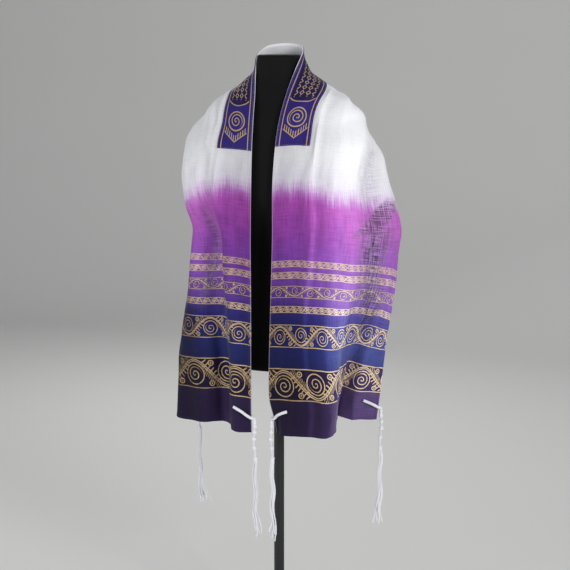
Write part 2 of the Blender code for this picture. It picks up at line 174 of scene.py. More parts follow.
def addPiece(name, mesh, material, node=None):
    piece = bpy.data.objects.new(name, mesh)
    mesh.materials.clear()
    mesh.materials.append(material)
    home.objects.link(piece)
    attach(piece, "root")
    if node:
        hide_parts(node)
    return piece


# The mesh that an object's modifiers make of it.
def bakedMesh(piece):
    seen = piece.evaluated_get(bpy.context.evaluated_depsgraph_get())
    baked = bpy.data.meshes.new_from_object(seen)
    piece.modifiers.clear()
    return baked


# A smooth mesh through rows of points, with edges sharper than an angle left crisp. A closed row
# is a ring or a single point, and a ring at either end is filled.
def meshOfRows(name, rows, crisp, closed=True):
    bm = bmesh.new()
    rows = [[bm.verts.new(point) for point in row] for row in rows]
    for low, high in zip(rows, rows[1:]):
        for k in range(0 if closed else 1, max(len(low), len(high))):
            corners = [row[m % len(row)] for row, m in
                       ((low, k - 1), (low, k), (high, k), (high, k - 1))]
            bm.faces.new(list(dict.fromkeys(corners)))
    if closed:
        for ring in (rows[0][::-1], rows[-1]):
            if len(ring) > 1:
                bm.faces.new(ring)
        bmesh.ops.recalc_face_normals(bm, faces=bm.faces)
    mesh = bpy.data.meshes.new(name)
    bm.to_mesh(mesh)
    bm.free()
    mesh.shade_smooth()
    mesh.set_sharp_from_angle(angle=math.radians(crisp))
    return mesh


def mattEmulsion():
    # emulsion rolled on a studio cove: a plain pale ground with no shine
    made, add = newMaterial("mattEmulsion")
    grain = add("ShaderNodeTexNoise", {"Scale": 3.0, "Detail": 3.0})
    tone = add("ShaderNodeMix", grain, linear(cove["darker"]), linear(cove["lighter"]),
               data_type="RGBA")
    finish = add("ShaderNodeBsdfPrincipled", {"Base Color": tone, "Roughness": 0.9})
    add("ShaderNodeOutputMaterial", finish)
    return made


# the drape

clothSizes = {
    "length": 2.05,
    "width": 0.45,
    "cadWall": 0.0018,
    "layGap": 0.0028,
    "layFrom": 1.25,
    "layTo": 1.35,
    "roundness": 2.3,
    "shallowFolds": 0.022,
    "deepFolds": 0.14,
    "deeperFrom": 0.30,
    "deeperTo": 0.75,
    "foldSlope": 1.25,
    "edgeFade": 0.35,  # share of the width over which the neck edge's own reach fades
    "foldRun": (0.15, 0.85),  # where folds start to wander from their places, and over how far
    "ribPoints": 241,
    "foldTries": 24,  # halvings that find how deep the folds are
    "creaseRounding": 60,
    "chest": (1.16, 0.06),  # above this the cloth lies on the form; how soft the change is
    "chestPress": 0.0003,
    "stationStep": 0.0064,
    "acrossStep": 0.0047,
    "wall": 0.0008,
    "hemWall": 0.0017,
    "hemWidth": 0.007,
    "hemRows": (0, 0.5, 0.94, 1.06),  # rows of points, as shares of a hem
    "hemStep": (0.92, 0.16),  # where the turned edge ends, and over how far
}
ringColumns = ("height", "left", "right", "front", "back", "setBack")
formRings = (
    (0.680, 0.148, 0.148, 0.096, 0.102, 0.000),
    (0.700, 0.156, 0.156, 0.104, 0.111, 0.000),
    (0.780, 0.159, 0.159, 0.108, 0.115, 0.000),
    (0.870, 0.149, 0.149, 0.105, 0.106, 0.000),
    (0.960, 0.131, 0.131, 0.108, 0.081, 0.008),
    (1.030, 0.141, 0.141, 0.124, 0.078, 0.016),
    (1.110, 0.163, 0.163, 0.149, 0.077, 0.028),
    (1.175, 0.180, 0.180, 0.152, 0.074, 0.036),
    (1.230, 0.190, 0.190, 0.146, 0.070, 0.040),
    (1.265, 0.187, 0.187, 0.136, 0.068, 0.038),
    (1.288, 0.176, 0.180, 0.123, 0.068, 0.034),
    (1.303, 0.159, 0.170, 0.110, 0.070, 0.028),
    (1.320, 0.133, 0.155, 0.094, 0.072, 0.020),
    (1.340, 0.105, 0.126, 0.077, 0.071, 0.011),
    (1.360, 0.067, 0.080, 0.058, 0.065, 0.003),
    (1.374, 0.053, 0.053, 0.052, 0.059, 0.000),
    (1.392, 0.049, 0.049, 0.050, 0.054, 0.000),
    (1.420, 0.050, 0.050, 0.050, 0.052, 0.000),
)
bellRings = (
    (0.500, 0.228, 0.238, 0.166, 0.140, 0.000),
    (0.620, 0.223, 0.250, 0.164, 0.144, 0.000),
    (0.750, 0.219, 0.264, 0.160, 0.148, 0.000),
    (0.900, 0.207, 0.286, 0.155, 0.150, 0.000),
    (1.000, 0.202, 0.290, 0.155, 0.143, 0.005),
    (1.080, 0.228, 0.264, 0.158, 0.132, 0.012),
    (1.150, 0.241, 0.240, 0.163, 0.112, 0.023),
    (1.210, 0.232, 0.228, 0.163, 0.097, 0.034),
)
collarRings = (
    (1.366, 0.077, 0.094, 0.066, 0.073, 0.000),
    (1.385, 0.060, 0.066, 0.062, 0.066, 0.000),
    (1.415, 0.056, 0.056, 0.060, 0.062, 0.000),
    (1.450, 0.057, 0.057, 0.058, 0.061, 0.000),
)
stationColumns = (
    "station", "leftEdgeX", "rightEdgeX", "edgeY", "edgeZ",
    "middleTurn", "middleZ", "leftTurn", "rightTurn", "selvedgeZ",
)
stationRows = (
    (0.00, 0.000, 0.000, 0.060, 1.446, 180, 1.250, 180, 180, 1.015),
    (0.05, 0.043, 0.042, 0.042, 1.440, 157, 1.255, 167, 167, 1.020),
    (0.10, 0.054, 0.056, 0.003, 1.420, 136, 1.264, 156, 156, 1.043),
    (0.16, 0.043, 0.051, -0.040, 1.378, 116, 1.284, 146, 145, 1.082),
    (0.22, 0.031, 0.045, -0.075, 1.331, 97, 1.288, 138, 136, 1.122),
    (0.28, 0.024, 0.040, -0.104, 1.279, 80, 1.262, 131, 127, 1.149),
    (0.34, 0.021, 0.036, -0.121, 1.222, 66, 1.214, 123, 117, 1.150),
    (0.44, 0.018, 0.034, -0.136, 1.125, 57, 1.130, 119, 107, 1.080),
    (0.56, 0.017, 0.036, -0.143, 1.006, 59, 1.008, 124, 103, 0.960),
    (0.72, 0.014, 0.034, -0.150, 0.847, 61, 0.846, 123, 99, 0.808),
    (0.88, 0.012, 0.032, -0.156, 0.688, 60, 0.687, 107, 97, 0.668),
    (1.04, 0.010, 0.034, -0.160, 0.530, 58, 0.536, 93, 93, 0.548),
)
# at the shoulder, at the hem, inner half, outer half, depth, lean, starts, is full, is gone
rightFolds = (
    (0.00, 0.00, 0.01, 0.11, -0.22, 20, 0.92, 1.03, 2.00),
    (0.30, 0.27, 0.05, 0.05, 0.40, 0, 0.14, 0.28, 0.70),
    (0.52, 0.44, 0.13, 0.13, 0.50, 0, 0.12, 0.30, 0.80),
    (0.82, 0.82, 0.12, 0.14, 0.50, 0, 0.25, 0.38, 0.62),
    (0.42, 0.41, 0.09, 0.08, 0.19, 0, 0.66, 1.03, 2.00),
    (0.60, 0.58, 0.13, 0.30, -0.90, 16, 0.60, 1.03, 2.00),
    (0.86, 0.87, 0.12, 0.13, -0.32, 0, 0.60, 1.00, 2.00),
)
leftFolds = (
    (0.00, 0.00, 0.01, 0.08, -0.15, 20, 0.94, 1.03, 2.00),
    (0.33, 0.26, 0.06, 0.07, 0.50, 0, 0.14, 0.28, 0.60),
    (0.54, 0.54, 0.12, 0.14, 0.50, 0, 0.12, 0.30, 0.70),
    (0.82, 0.82, 0.14, 0.14, 0.50, 0, 0.20, 0.35, 0.70),
    (0.46, 0.20, 0.06, 0.28, -0.92, 20, 0.38, 0.72, 2.00),
    (0.58, 0.62, 0.14, 0.16, 0.30, 0, 0.52, 0.80, 2.00),
    (0.66, 0.86, 0.13, 0.14, -0.50, 0, 0.42, 0.76, 2.00),
)


def column(rows, names, name):
    return np.array([row[names.index(name)] for row in rows], float)


# A curve through known points that doesn't swing past them.
def smoothCurve(at, knownAt, known):
    knownAt, known, at = (np.asarray(a, float) for a in (knownAt, known, at))
    step = np.diff(knownAt)
    rise = np.diff(known) / step
    slope = np.zeros(len(known))
    sameWay = rise[:-1] * rise[1:] > 0
    weightA, weightB = 2 * step[1:] + step[:-1], step[1:] + 2 * step[:-1]
    safe = np.where(sameWay, rise[:-1] * rise[1:], 1.0)
    mean = (weightA + weightB) * safe / (weightA * rise[1:] + weightB * rise[:-1] + 1e-30)
    slope[1:-1] = np.where(sameWay, mean, 0.0)
    slope[0], slope[-1] = rise[0], rise[-1]
    i = np.clip(np.searchsorted(knownAt, at) - 1, 0, len(step) - 1)
    t = np.clip((at - knownAt[i]) / step[i], 0, 1)
    return (
        (1 + 2 * t) * (1 - t) ** 2 * known[i]
        + t * (1 - t) ** 2 * step[i] * slope[i]
        + t * t * (3 - 2 * t) * known[i + 1]
        + t * t * (t - 1) * step[i] * slope[i + 1]
    )


# The sizes of a stack of rings at any heights: left, right, front, back and set back.
def ringsAt(rings, z):
    heights = column(rings, ringColumns, "height")
    return [smoothCurve(z, heights, column(rings, ringColumns, name)) for name in ringColumns[1:]]


def ease(t):
    t = np.clip(t, 0, 1)
    return t * t * (3 - 2 * t)


# How far along a path each of its points is.
def runAlong(path):
    return np.concatenate([[0], np.cumsum(np.linalg.norm(np.diff(path, axis=0), axis=1))])


# How far a superellipse reaches in the direction turn, in radians from the front.
def ringReach(turn, side, front, back):
    power = clothSizes["roundness"]
    depth = np.where(np.cos(turn) > 0, front, back)
    across, along = np.abs(np.sin(turn)) / side, np.abs(np.cos(turn)) / depth
    return (across ** power + along ** power) ** (-1 / power)


# The rings that the cloth's middle follows, from the hem to the top of the collar.
def drapeRings():
    lying = []
    clear = clothSizes["layGap"] + clothSizes["cadWall"] / 2
    height, side = (column(formRings, ringColumns, name) for name in ("height", "right"))
    for (z, *reaches, setBack), slope in zip(formRings, np.gradient(side, height)):
        if clothSizes["layFrom"] < z < clothSizes["layTo"]:
            out = clear / math.hypot(1, slope)
            lying.append((z + out * abs(slope), *(r + out for r in reaches), setBack))
    return bellRings + tuple(lying) + collarRings


def stationValues(stations):
    rows = column(stationRows, stationColumns, "station")
    places = np.concatenate([-rows[:0:-1], rows])
    read = {}
    for name in ("edgeY", "edgeZ", "middleTurn", "middleZ", "selvedgeZ"):
        values = column(stationRows, stationColumns, name)
        read[name] = smoothCurve(stations, places, np.concatenate([values[:0:-1], values]))
    for name, sign in (("EdgeX", -1), ("Turn", 1)):
        left = sign * column(stationRows, stationColumns, "left" + name)
        right = column(stationRows, stationColumns, "right" + name)
        read[name] = smoothCurve(stations, places, np.concatenate([left[:0:-1], right]))
    return read


# The cloth without its folds, a row of points for each station.
def bareCloth(stations, shares):
    rings = drapeRings()
    read = stationValues(stations)
    hand = np.where(stations < 0, -1.0, 1.0)

    def reachAt(turn, z, hands):
        left, right, front, back, _ = ringsAt(rings, z)
        return ringReach(turn, np.where(hands > 0, right, left), front, back)

    edgeY = read["edgeY"] - ringsAt(rings, read["edgeZ"])[-1]
    edgeTurn = np.arctan2(np.abs(read["EdgeX"]), -edgeY)
    edgeOut = np.hypot(read["EdgeX"], edgeY) / reachAt(edgeTurn, read["edgeZ"], hand)
    t = shares[None, :]
    weights = ((1 - t) * (1 - 2 * t), 4 * t * (1 - t), t * (2 * t - 1))
    turns = (edgeTurn, np.radians(read["middleTurn"]), np.radians(read["Turn"]))
    heights = (read["edgeZ"], read["middleZ"], read["selvedgeZ"])
    turn = sum(w * v[:, None] for w, v in zip(weights, turns))
    z = sum(w * v[:, None] for w, v in zip(weights, heights))
    out = 1 + (edgeOut[:, None] - 1) * (1 - ease(t / clothSizes["edgeFade"]))
    reach = reachAt(turn, z, hand[:, None] * np.ones_like(z)) * out
    x = hand[:, None] * reach * np.sin(turn)
    y = ringsAt(rings, z)[-1] - reach * np.cos(turn)
    return np.stack([x, y, z], axis=2)


# Unit vectors of a grid: out of the cloth, and along the rib to the selvedge.
def gridDirections(points):
    along, across = np.gradient(points, axis=0), np.gradient(points, axis=1)
    normal = np.cross(along, across)
    normal /= np.maximum(np.linalg.norm(normal, axis=2, keepdims=True), 1e-12)
    across /= np.maximum(np.linalg.norm(across, axis=2, keepdims=True), 1e-12)
    return normal, across


def foldPattern(stations, shares, normal, across):
    move = np.zeros(normal.shape)
    starts, over = clothSizes["foldRun"]
    for hand, folds in ((1, rightFolds), (-1, leftFolds)):
        down = hand * stations
        for atTop, atHem, inner, outer, depth, lean, start, full, gone in folds:
            middle = atTop + (atHem - atTop) * ease((down - starts) / over)
            grown = ease((down - start) / (full - start)) * (down > 0)
            grown = grown * (1 - ease((down - full) / (gone - full)))
            offset = shares[None, :] - middle[:, None]
            offset = offset / np.where(offset < 0, inner, outer)
            bump = ease(clothSizes["foldSlope"] * (1 - np.abs(offset)))
            amount = (depth * grown[:, None] * bump)[:, :, None]
            tip = math.radians(lean) * (1 if depth > 0 else -1)
            move += amount * (math.cos(tip) * normal + math.sin(tip) * across)
    return move


# The cloth's middle surface. Each fold is as deep as the rib's spare width makes it.
def drapedCloth(stations, across):
    size = clothSizes
    shares = np.linspace(0, 1, size["ribPoints"])
    bare = bareCloth(stations, shares)
    move = foldPattern(stations, shares, *gridDirections(bare))
    shallow = np.zeros(len(stations))
    deep = ease((np.abs(stations) - size["deeperFrom"]) / (size["deeperTo"] - size["deeperFrom"]))
    deep = size["shallowFolds"] + (size["deepFolds"] - size["shallowFolds"]) * deep
    for _ in range(size["foldTries"]):
        depth = (shallow + deep) / 2
        ribs = bare + depth[:, None, None] * move
        short = np.linalg.norm(np.diff(ribs, axis=1), axis=2).sum(axis=1) < size["width"]
        shallow, deep = np.where(short, depth, shallow), np.where(short, deep, depth)
    folded = bare + ((shallow + deep) / 2)[:, None, None] * move
    for _ in range(size["creaseRounding"]):
        folded[:, 1:-1] = (folded[:, :-2] + 2 * folded[:, 1:-1] + folded[:, 2:]) / 4
    surface = np.zeros((len(stations), len(across), 3))
    for i, rib in enumerate(folded):
        run = runAlong(rib)
        for k in range(3):
            surface[i, :, k] = np.interp(across / size["width"] * run[-1], run, rib[:, k])
    return surface


# creases

# hand (1 on the right), station and distance across at both ends, half width, height out of
# the cloth
creases = (
    (1, 0.17, 0.098, 0.54, 0.111, 0.0050, 0.0062),
    (1, 0.20, 0.150, 0.46, 0.166, 0.0130, 0.0034),
    (1, 0.29, 0.121, 0.50, 0.128, 0.0060, -0.0040),
    (1, 0.32, 0.235, 0.50, 0.268, 0.0140, -0.0060),
    (1, 0.40, 0.292, 0.62, 0.330, 0.0160, 0.0040),
    (1, 0.475, 0.292, 0.535, 0.216, 0.0042, 0.0038),
    (1, 0.45, 0.062, 0.78, 0.070, 0.0120, -0.0018),
    (-1, 0.17, 0.100, 0.40, 0.106, 0.0070, 0.0034),
    (-1, 0.20, 0.118, 0.44, 0.126, 0.0080, -0.0032),
    (-1, 0.36, 0.085, 0.66, 0.120, 0.0060, 0.0030),
    (-1, 0.44, 0.046, 0.72, 0.050, 0.0100, -0.0016),
)
ripples = {
    "seed": 4, "waves": 26, "height": 0.00045, "shortest": 0.022, "longest": 0.11,
    "usual": 0.06,  # the wave that is as high as the height says
    "slant": 0.5,  # how far they turn from running along the cloth, as a spread in radians
    "stretch": 0.45,  # below 1 draws them out along the cloth
    "creaseEnd": 0.05,
    "pastEnds": (-0.4, 1.4),  # a crease's line goes on this far, as shares of its length
    "flatEdge": 0.02,
}


# How far creases and soft ripples lift each point of the cloth.
def creaseLift(stations, across):
    s, v = stations[:, None], across[None, :]
    lift = np.zeros((len(stations), len(across)))
    end = ripples["creaseEnd"]
    for hand, s0, v0, s1, v1, half, height in creases:
        along = np.clip((hand * s - s0) / (s1 - s0), *ripples["pastEnds"])
        middle = v0 + (v1 - v0) * along
        ends = ease((hand * s - s0) / end + 0.5) * ease((s1 - hand * s) / end + 0.5)
        lift += height * ends * np.exp(-(((v - middle) / half) ** 2))
    chance = np.random.default_rng(ripples["seed"])
    for _ in range(ripples["waves"]):
        wave = chance.uniform(ripples["shortest"], ripples["longest"])
        turn = chance.normal(math.pi / 2, ripples["slant"])
        phase = chance.uniform(0, 2 * math.pi)
        run = ripples["stretch"] * s * math.cos(turn) + v * math.sin(turn)
        height = ripples["height"] * (wave / ripples["usual"])
        lift += height * np.sin(2 * math.pi * run / wave + phase)
    edge = np.minimum(v, clothSizes["width"] - v)
    return lift * ease(edge / ripples["flatEdge"])


# Moves any cloth that would press into the body of the form out to its surface.
def clearOfForm(points):
    x, y, z = points[..., 0], points[..., 1], points[..., 2]
    left, right, front, back, setBack = ringsAt(formRings, z)
    turn = np.arctan2(np.abs(x), setBack - y)
    reach = ringReach(turn, np.where(x > 0, right, left), front, back) + formSizes["clear"]
    out = np.hypot(x, y - setBack)
    low, high, soft = formSizes["clearZone"]
    level = ease((z - low) / soft) * ease((high - z) / soft)
    grow = 1 + np.maximum(reach / out - 1, 0) * level
    return np.stack([x * grow, setBack + (y - setBack) * grow, z], axis=-1)


class Drape:
    # the draped cloth on a fine grid, which other pieces are placed by
    def __init__(self):
        length, width = clothSizes["length"], clothSizes["width"]
        half = np.linspace(0, length / 2, round(length / 2 / clothSizes["stationStep"]) + 1)
        self.stations = np.concatenate([-half[:0:-1], half])
        hem = np.array(clothSizes["hemRows"]) * clothSizes["hemWidth"]
        inside = np.linspace(hem[-1], width - hem[-1], round(width / clothSizes["acrossStep"]))
        self.across = np.concatenate([hem[:-1], inside, width - hem[-2::-1]])
        surface = drapedCloth(self.stations, self.across)
        normal, _ = gridDirections(surface)
        lift = creaseLift(self.stations, self.across)
        # above the chest the cloth lies on the form, so nothing presses it in there
        above, soft = clothSizes["chest"]
        lying = ease((surface[:, :, 2] - above) / soft)
        lift = lift + (np.maximum(lift, -clothSizes["chestPress"]) - lift) * lying
        self.points = clearOfForm(surface + lift[:, :, None] * normal)
        self.normals, _ = gridDirections(self.points)

    # points and normals at any stations and distances across, which are arrays of one shape
    def read(self, stations, across):
        stations, across = np.broadcast_arrays(np.asarray(stations, float), across)
        i = np.clip(np.searchsorted(self.stations, stations) - 1, 0, len(self.stations) - 2)
        j = np.clip(np.searchsorted(self.across, across) - 1, 0, len(self.across) - 2)
        a = (stations - self.stations[i]) / (self.stations[i + 1] - self.stations[i])
        b = (across - self.across[j]) / (self.across[j + 1] - self.across[j])
        a, b = a[..., None], b[..., None]
        mixed = [
            (grid[i, j] * (1 - b) + grid[i, j + 1] * b) * (1 - a)
            + (grid[i + 1, j] * (1 - b) + grid[i + 1, j + 1] * b) * a
            for grid in (self.points, self.normals)
        ]
        return mixed[0], mixed[1] / np.linalg.norm(mixed[1], axis=-1, keepdims=True)

    def lyingPath(self, stations, across, lift):
        points, normals = self.read(stations, across)
        return points + lift * normals


# A sheet of cloth through a grid of points, with its own UV map in metres. The wall is thicker
# where thick is 1, as at a hem.
def clothSheet(name, points, stations, across, walls, thick, material):
    rows, columns = points.shape[:2]
    faces = [
        (i * columns + j, i * columns + j + 1, (i + 1) * columns + j + 1, (i + 1) * columns + j)
        for i in range(rows - 1) for j in range(columns - 1)
    ]
    mesh = bpy.data.meshes.new(name)
    mesh.from_pydata([tuple(p) for p in points.reshape(-1, 3)], [], [face[::-1] for face in faces])
    places = np.stack(np.meshgrid(stations, across, indexing="ij"), axis=-1).reshape(-1, 2)
    corners = np.zeros(len(mesh.loops), int)
    mesh.loops.foreach_get("vertex_index", corners)
    mesh.uv_layers.new(name="cloth").data.foreach_set("uv", places[corners].ravel())
    piece = addPiece(name, mesh, material)
    group = piece.vertex_groups.new(name="thick")
    for level in np.unique(np.round(thick, 2)):
        chosen = np.nonzero(np.round(thick.ravel(), 2) == level)[0]
        group.add([int(k) for k in chosen], float(level), "REPLACE")
    solid = piece.modifiers.new("wall", "SOLIDIFY")
    solid.thickness = walls[1]
    solid.offset = 0
    solid.vertex_group = "thick"
    solid.thickness_vertex_group = walls[0] / walls[1]
    piece.data = bakedMesh(piece)
    piece.vertex_groups.clear()
    piece.data.set_sharp_from_angle(angle=math.radians(50))
    return piece


# the patterns in the cloth

# How far a point is from the nearest of evenly spaced lines, given how many it is along.
def evenLines(add, count, pitch):
    return add("MULTIPLY", add("ABSOLUTE", add("SUBTRACT", add("FRACT", count), 0.5)), pitch)


def distanceOf(add, x, y):
    return add("ShaderNodeVectorMath", add("ShaderNodeCombineXYZ", x, y), operation="LENGTH")


# How far a point is from the middle of a curl, and from its spiral line, which ends at a reach.
def spiralCurl(add, x, y, pitch, reach):
    radius = distanceOf(add, x, y)
    turn = add("DIVIDE", add("ARCTAN2", y, x), 2 * math.pi)
    coil = evenLines(add, add("SUBTRACT", add("DIVIDE", radius, pitch), turn), pitch)
    return radius, add("MAXIMUM", coil, add("SUBTRACT", radius, reach))


# Noise drawn out into slubs or streaks: scale is how many there are in a metre each way.
def slubs(add, place, scale, detail=2.0):
    place = add("ShaderNodeMapping", {"Vector": place, "Scale": scale})
    return add("ShaderNodeTexNoise", {"Vector": place, "Scale": 1.0, "Detail": detail})


def patternGroup(name, *sizes):
    inputs = dict.fromkeys(("across", "offset", *sizes), "Float")
    return newGroup(name, "ShaderNodeTree", inputs, {"distance": "Float"})


# shares of the half line, half height, half period or pitch, apart from the first
vineShape = {
    "stemThins": 0.00062,  # a half line as fine as this has no gap within the stem
    "stemGap": 3.4,
    "curlEnds": 0.7,
    "ringClear": 2.0,
    "barbPitch": 7.0, "barbLean": 0.72, "barbFine": 0.35, "barbReach": 0.34, "barbFlank": 0.26,
    "berryHeight": 0.66, "berry": 0.155, "seed": 0.6,
}
chainShape = {"lean": 0.50, "loop": 0.66, "fine": 0.72, "seedNarrow": 0.55, "seed": 0.25}


# How far a point is from the nearest line of a running vine that weaves round ringed curls.
def runningVine():
    tree, add, given = patternGroup(
        "runningVine", "halfHeight", "halfPeriod", "rise", "curl", "pitch", "line"
    )
    x, y, halfHeight, halfPeriod, rise, curl, pitch, line, _ = given
    shape = vineShape
    turns = add("DIVIDE", x, halfPeriod)
    angle = add("MULTIPLY", turns, math.pi)
    sign = add("COSINE", add("MULTIPLY", add("FLOOR", turns), math.pi))
    # how far along it is from the nearest crest, and from the nearest flank
    local, between = (
        add("MULTIPLY", add("SUBTRACT", add("FRACT", count), 0.5), halfPeriod)
        for count in (turns, add("ADD", turns, 0.5))
    )

    # the vine's stem is two lines either side of a sine wave
    gap = add("ABSOLUTE", add("SUBTRACT", y, add("MULTIPLY", add("SINE", angle), rise)))
    steep = add("MULTIPLY", add("DIVIDE", rise, halfPeriod), math.pi)
    slope = add("MULTIPLY", add("COSINE", angle), steep)
    slope = add("SQRT", add("MULTIPLY_ADD", slope, slope, 1.0))
    vine = add("DIVIDE", gap, slope)
    stem = add("SUBTRACT", line, shape["stemThins"])
    stem = add("ABSOLUTE", add("MULTIPLY_ADD", stem, -shape["stemGap"], vine))

    # a curl inside a ring sits under each crest
    drop = add("MULTIPLY", add("SUBTRACT", halfHeight, rise), 0.5)
    localY = add("MULTIPLY_ADD", y, sign, drop)
    inner = add("MULTIPLY_ADD", pitch, -shape["curlEnds"], curl)
    radius, coil = spiralCurl(add, local, localY, pitch, inner)
    ring = add("ABSOLUTE", add("SUBTRACT", radius, curl))
    outside = add("SUBTRACT", add("MULTIPLY_ADD", line, shape["ringClear"], curl), radius)

    # fern barbs slant back from the stem's flanks, between the rings
    frond = add("MULTIPLY", line, shape["barbPitch"])
    along = add("MULTIPLY_ADD", between, slope, vine)
    barb = evenLines(add, add("DIVIDE", along, frond), frond)
    barb = add("MULTIPLY_ADD", barb, shape["barbLean"], add("MULTIPLY", line, shape["barbFine"]))
    reach = add("MULTIPLY_ADD", halfHeight, -shape["barbReach"], vine)
    flank = add("MULTIPLY_ADD", halfPeriod, -shape["barbFlank"], add("ABSOLUTE", between))
    for limit in (reach, flank, outside):
        barb = add("MAXIMUM", barb, limit)

    # a small ring and its seed stand above and below each flank
    high = add("ABSOLUTE", y)
    berry = add("MULTIPLY_ADD", halfHeight, -shape["berryHeight"], high)
    berry = distanceOf(add, between, berry)
    seed = add("MULTIPLY_ADD", line, -shape["seed"], berry)
    berry = add("ABSOLUTE", add("MULTIPLY_ADD", halfHeight, -shape["berry"], berry))

    border = add("SUBTRACT", add("SUBTRACT", halfHeight, high), line)
    nearest = add("ABSOLUTE", border)
    for other in (stem, coil, ring, barb, berry, seed):
        nearest = add("MINIMUM", nearest, other)
    add("NodeGroupOutput", nearest)
    return tree


# How far a point is from a border line or from two crossing waves with a seed in each loop.
def seedChain():
    tree, add, given = patternGroup("seedChain", "halfHeight", "period", "line")
    x, y, halfHeight, period, line, _ = given
    shape = chainShape
    turns = add("DIVIDE", add("MULTIPLY_ADD", y, shape["lean"], x), period)
    wave = add("ABSOLUTE", add("SINE", add("MULTIPLY", turns, math.pi)))
    high = add("ABSOLUTE", y)
    loop = add("MULTIPLY_ADD", add("MULTIPLY", wave, halfHeight), -shape["loop"], high)
    loop = add("MULTIPLY", add("ABSOLUTE", loop), shape["fine"])
    local = add("MULTIPLY", add("SUBTRACT", add("FRACT", turns), 0.5), period)
    seed = distanceOf(add, add("MULTIPLY", local, shape["seedNarrow"]), y)
    seed = add("MULTIPLY_ADD", halfHeight, -shape["seed"], seed)
    border = add("ABSOLUTE", add("SUBTRACT", add("SUBTRACT", halfHeight, high), line))
    add("NodeGroupOutput", add("MINIMUM", add("MINIMUM", loop, seed), border))
    return tree


bands = {
    # middle above the hem, half height, half period, rise, curl, pitch, half line (all in metres)
    "vines": (
        (0.1245, 0.0385, 0.086, 0.0310, 0.0250, 0.0104, 0.00128),
        (0.2385, 0.0265, 0.064, 0.0212, 0.0165, 0.0078, 0.00096),
        (0.3405, 0.0135, 0.046, 0.0098, 0.0078, 0.0062, 0.00074),
    ),
    # middle above the hem, half height, period, half line
    "chains": (
        (0.3000, 0.0080, 0.0205, 0.00085),
        (0.3785, 0.0080, 0.0205, 0.00090),
        (0.4048, 0.0078, 0.0205, 0.00090),
    ),
    # sizes that a pattern is read with between the bands
    "noVine": (0, 0.03, 0.01, 0.01, 0.005, 0.001),
    "noChain": (0.008, 0.015, 0.001),
    "gold": "#DEC39B",
    "paleGold": "#E4C8A6",
    "lineEdge": (0.75, 1.35, 2.3),  # half lines: gold to here, none from here, outline to here
    "outline": 0.55,
    "outlineColour": "#150D26",
    "darkGround": "#2B1D48",
}
dye = {
    # height above the hem, colour
    "stops": (
        (0.000, "#3D2C57"), (0.100, "#3D2C57"), (0.112, "#2A2E68"), (0.165, "#2B306B"),
        (0.205, "#303779"), (0.262, "#313078"), (0.292, "#423A8A"), (0.318, "#744FA8"),
        (0.350, "#8658B4"), (0.392, "#8F58BA"), (0.430, "#9E5CC0"), (0.475, "#A85BBF"),
        (0.515, "#BA62C2"), (0.550, "#C36AC8"), (0.566, "#CE90D8"), (0.580, "#E2C8EC"),
        (0.600, "#EDE9F4"), (0.650, "#F3F3F7"),
    ),
    "reach": 0.70,
    "streak": 0.017,  # how far the white edge's streaks run
    "threadClimb": 1.6,
    "wideClimb": 1.8,
    "slub": 0.0030,  # spacing of the slubs that show, drawn coarser than the 0.6 mm threads
    "slubRun": 22,  # slubs in a metre of thread
    "wide": (4, 34, 1),  # broad streaks in a metre, along and across
    "sheerThreads": (26, 400),  # finer slubs in a metre, where the dark shows between them
    "sheerEnds": (0.33, 0.52),  # where a sheer place's ends fade, as shares of its height
    "goldRelief": 0.35,
    "clouds": ((22.0, 3.0), (15.0, 2.0)),  # scale and detail of the clouds and of the blotches
    "unevenness": 0.30,
    # painted shade deepens the colour just as stronger dye does
    "deepen": (-0.8, 1.8),  # how the colour's strength follows its lightness
    # how strong the dye came out, with painted light and shade on the front: distance across, tone
    # on the right half and on the left
    "dyeAndPaintedLight": (
        (0.00, 0.62, 0.58), (0.06, 0.66, 0.66), (0.095, 0.72, 0.78), (0.107, 0.98, 0.86),
        (0.122, 0.82, 0.88), (0.15, 0.94, 0.96), (0.18, 1.12, 0.98), (0.22, 1.15, 0.96),
        (0.27, 0.98, 0.94), (0.36, 1.00, 0.92),
    ),
    "faded": "#C4AED2",
    # the dark beyond the worn weave, and painted shade in the shaded places
    "darkBeyondAndShade": "#1A1424",
    "selvedge": "#D9CDE2",
    # painted shade inside the collar
    "collar": "#5E6A6A",
    # these say where a change starts and ends, and its value at both
    "dyedTone": (0.79, 0.86, 1.0, 0.30),
    "shadingShareByDye": (0.79, 0.86, 1.0, 0.90),
    "wornGold": (0.30, 0.46, 0.60, 1.0),
    "darkBetweenThreads": (0.88, 1.14, 0.88, 0.10),
    "selvedgeEdge": (0.0008, 0.0022, 0.30, 0.0),
    "roughness": (0.0, 1.0, 0.88, 0.55),
}
# the same for changes up and across the cloth, by what they are measured with
changes = {
    "fromHem": {
        "whiteEdge": (0.40, 0.54, 0.30, 1.0),  # streaks and sag, weaker low down
        "blotches": (0.49, 0.55, 7.0, 0.6),
        "violet": (0.30, 0.44, 0.0, 1.0),
        "thinnerGold": (0.27, 0.40, 1.0, 0.86),
        "palerGold": (0.27, 0.36, 0.0, 1.0),
        "lowPaintedShading": (0.26, 0.40, 1.0, 0.0),
        "fadedThreads": (0.27, 0.36, 0.0, 0.42),
    },
    "across": {
        "sag": (0.06, 0.20, 0.0, 0.026),
        "leftSag": (0.15, 0.25, 0.0, 0.014),
        # painted shade low on the left half, and painted light low on the right
        "leftPaintedShading": (0.08, 0.22, 1.24, 0.62),
        "rightPaintedShading": (0.14, 0.22, 0.92, 1.24),
        # where the painted shade inside the collar reaches
        "collarShade": (0.004, 0.026, 0.0, 0.62),
        "collarFold": (0.045, 0.080, 1.0, 0.0),
    },
    "down": {
        "front": (0.10, 0.28, 0.0, 1.0),
        "nape": (0.055, 0.085, 1.0, 0.0),
    },
    "along": {"isRight": (-0.16, 0.16, 0.0, 1.0)},
}
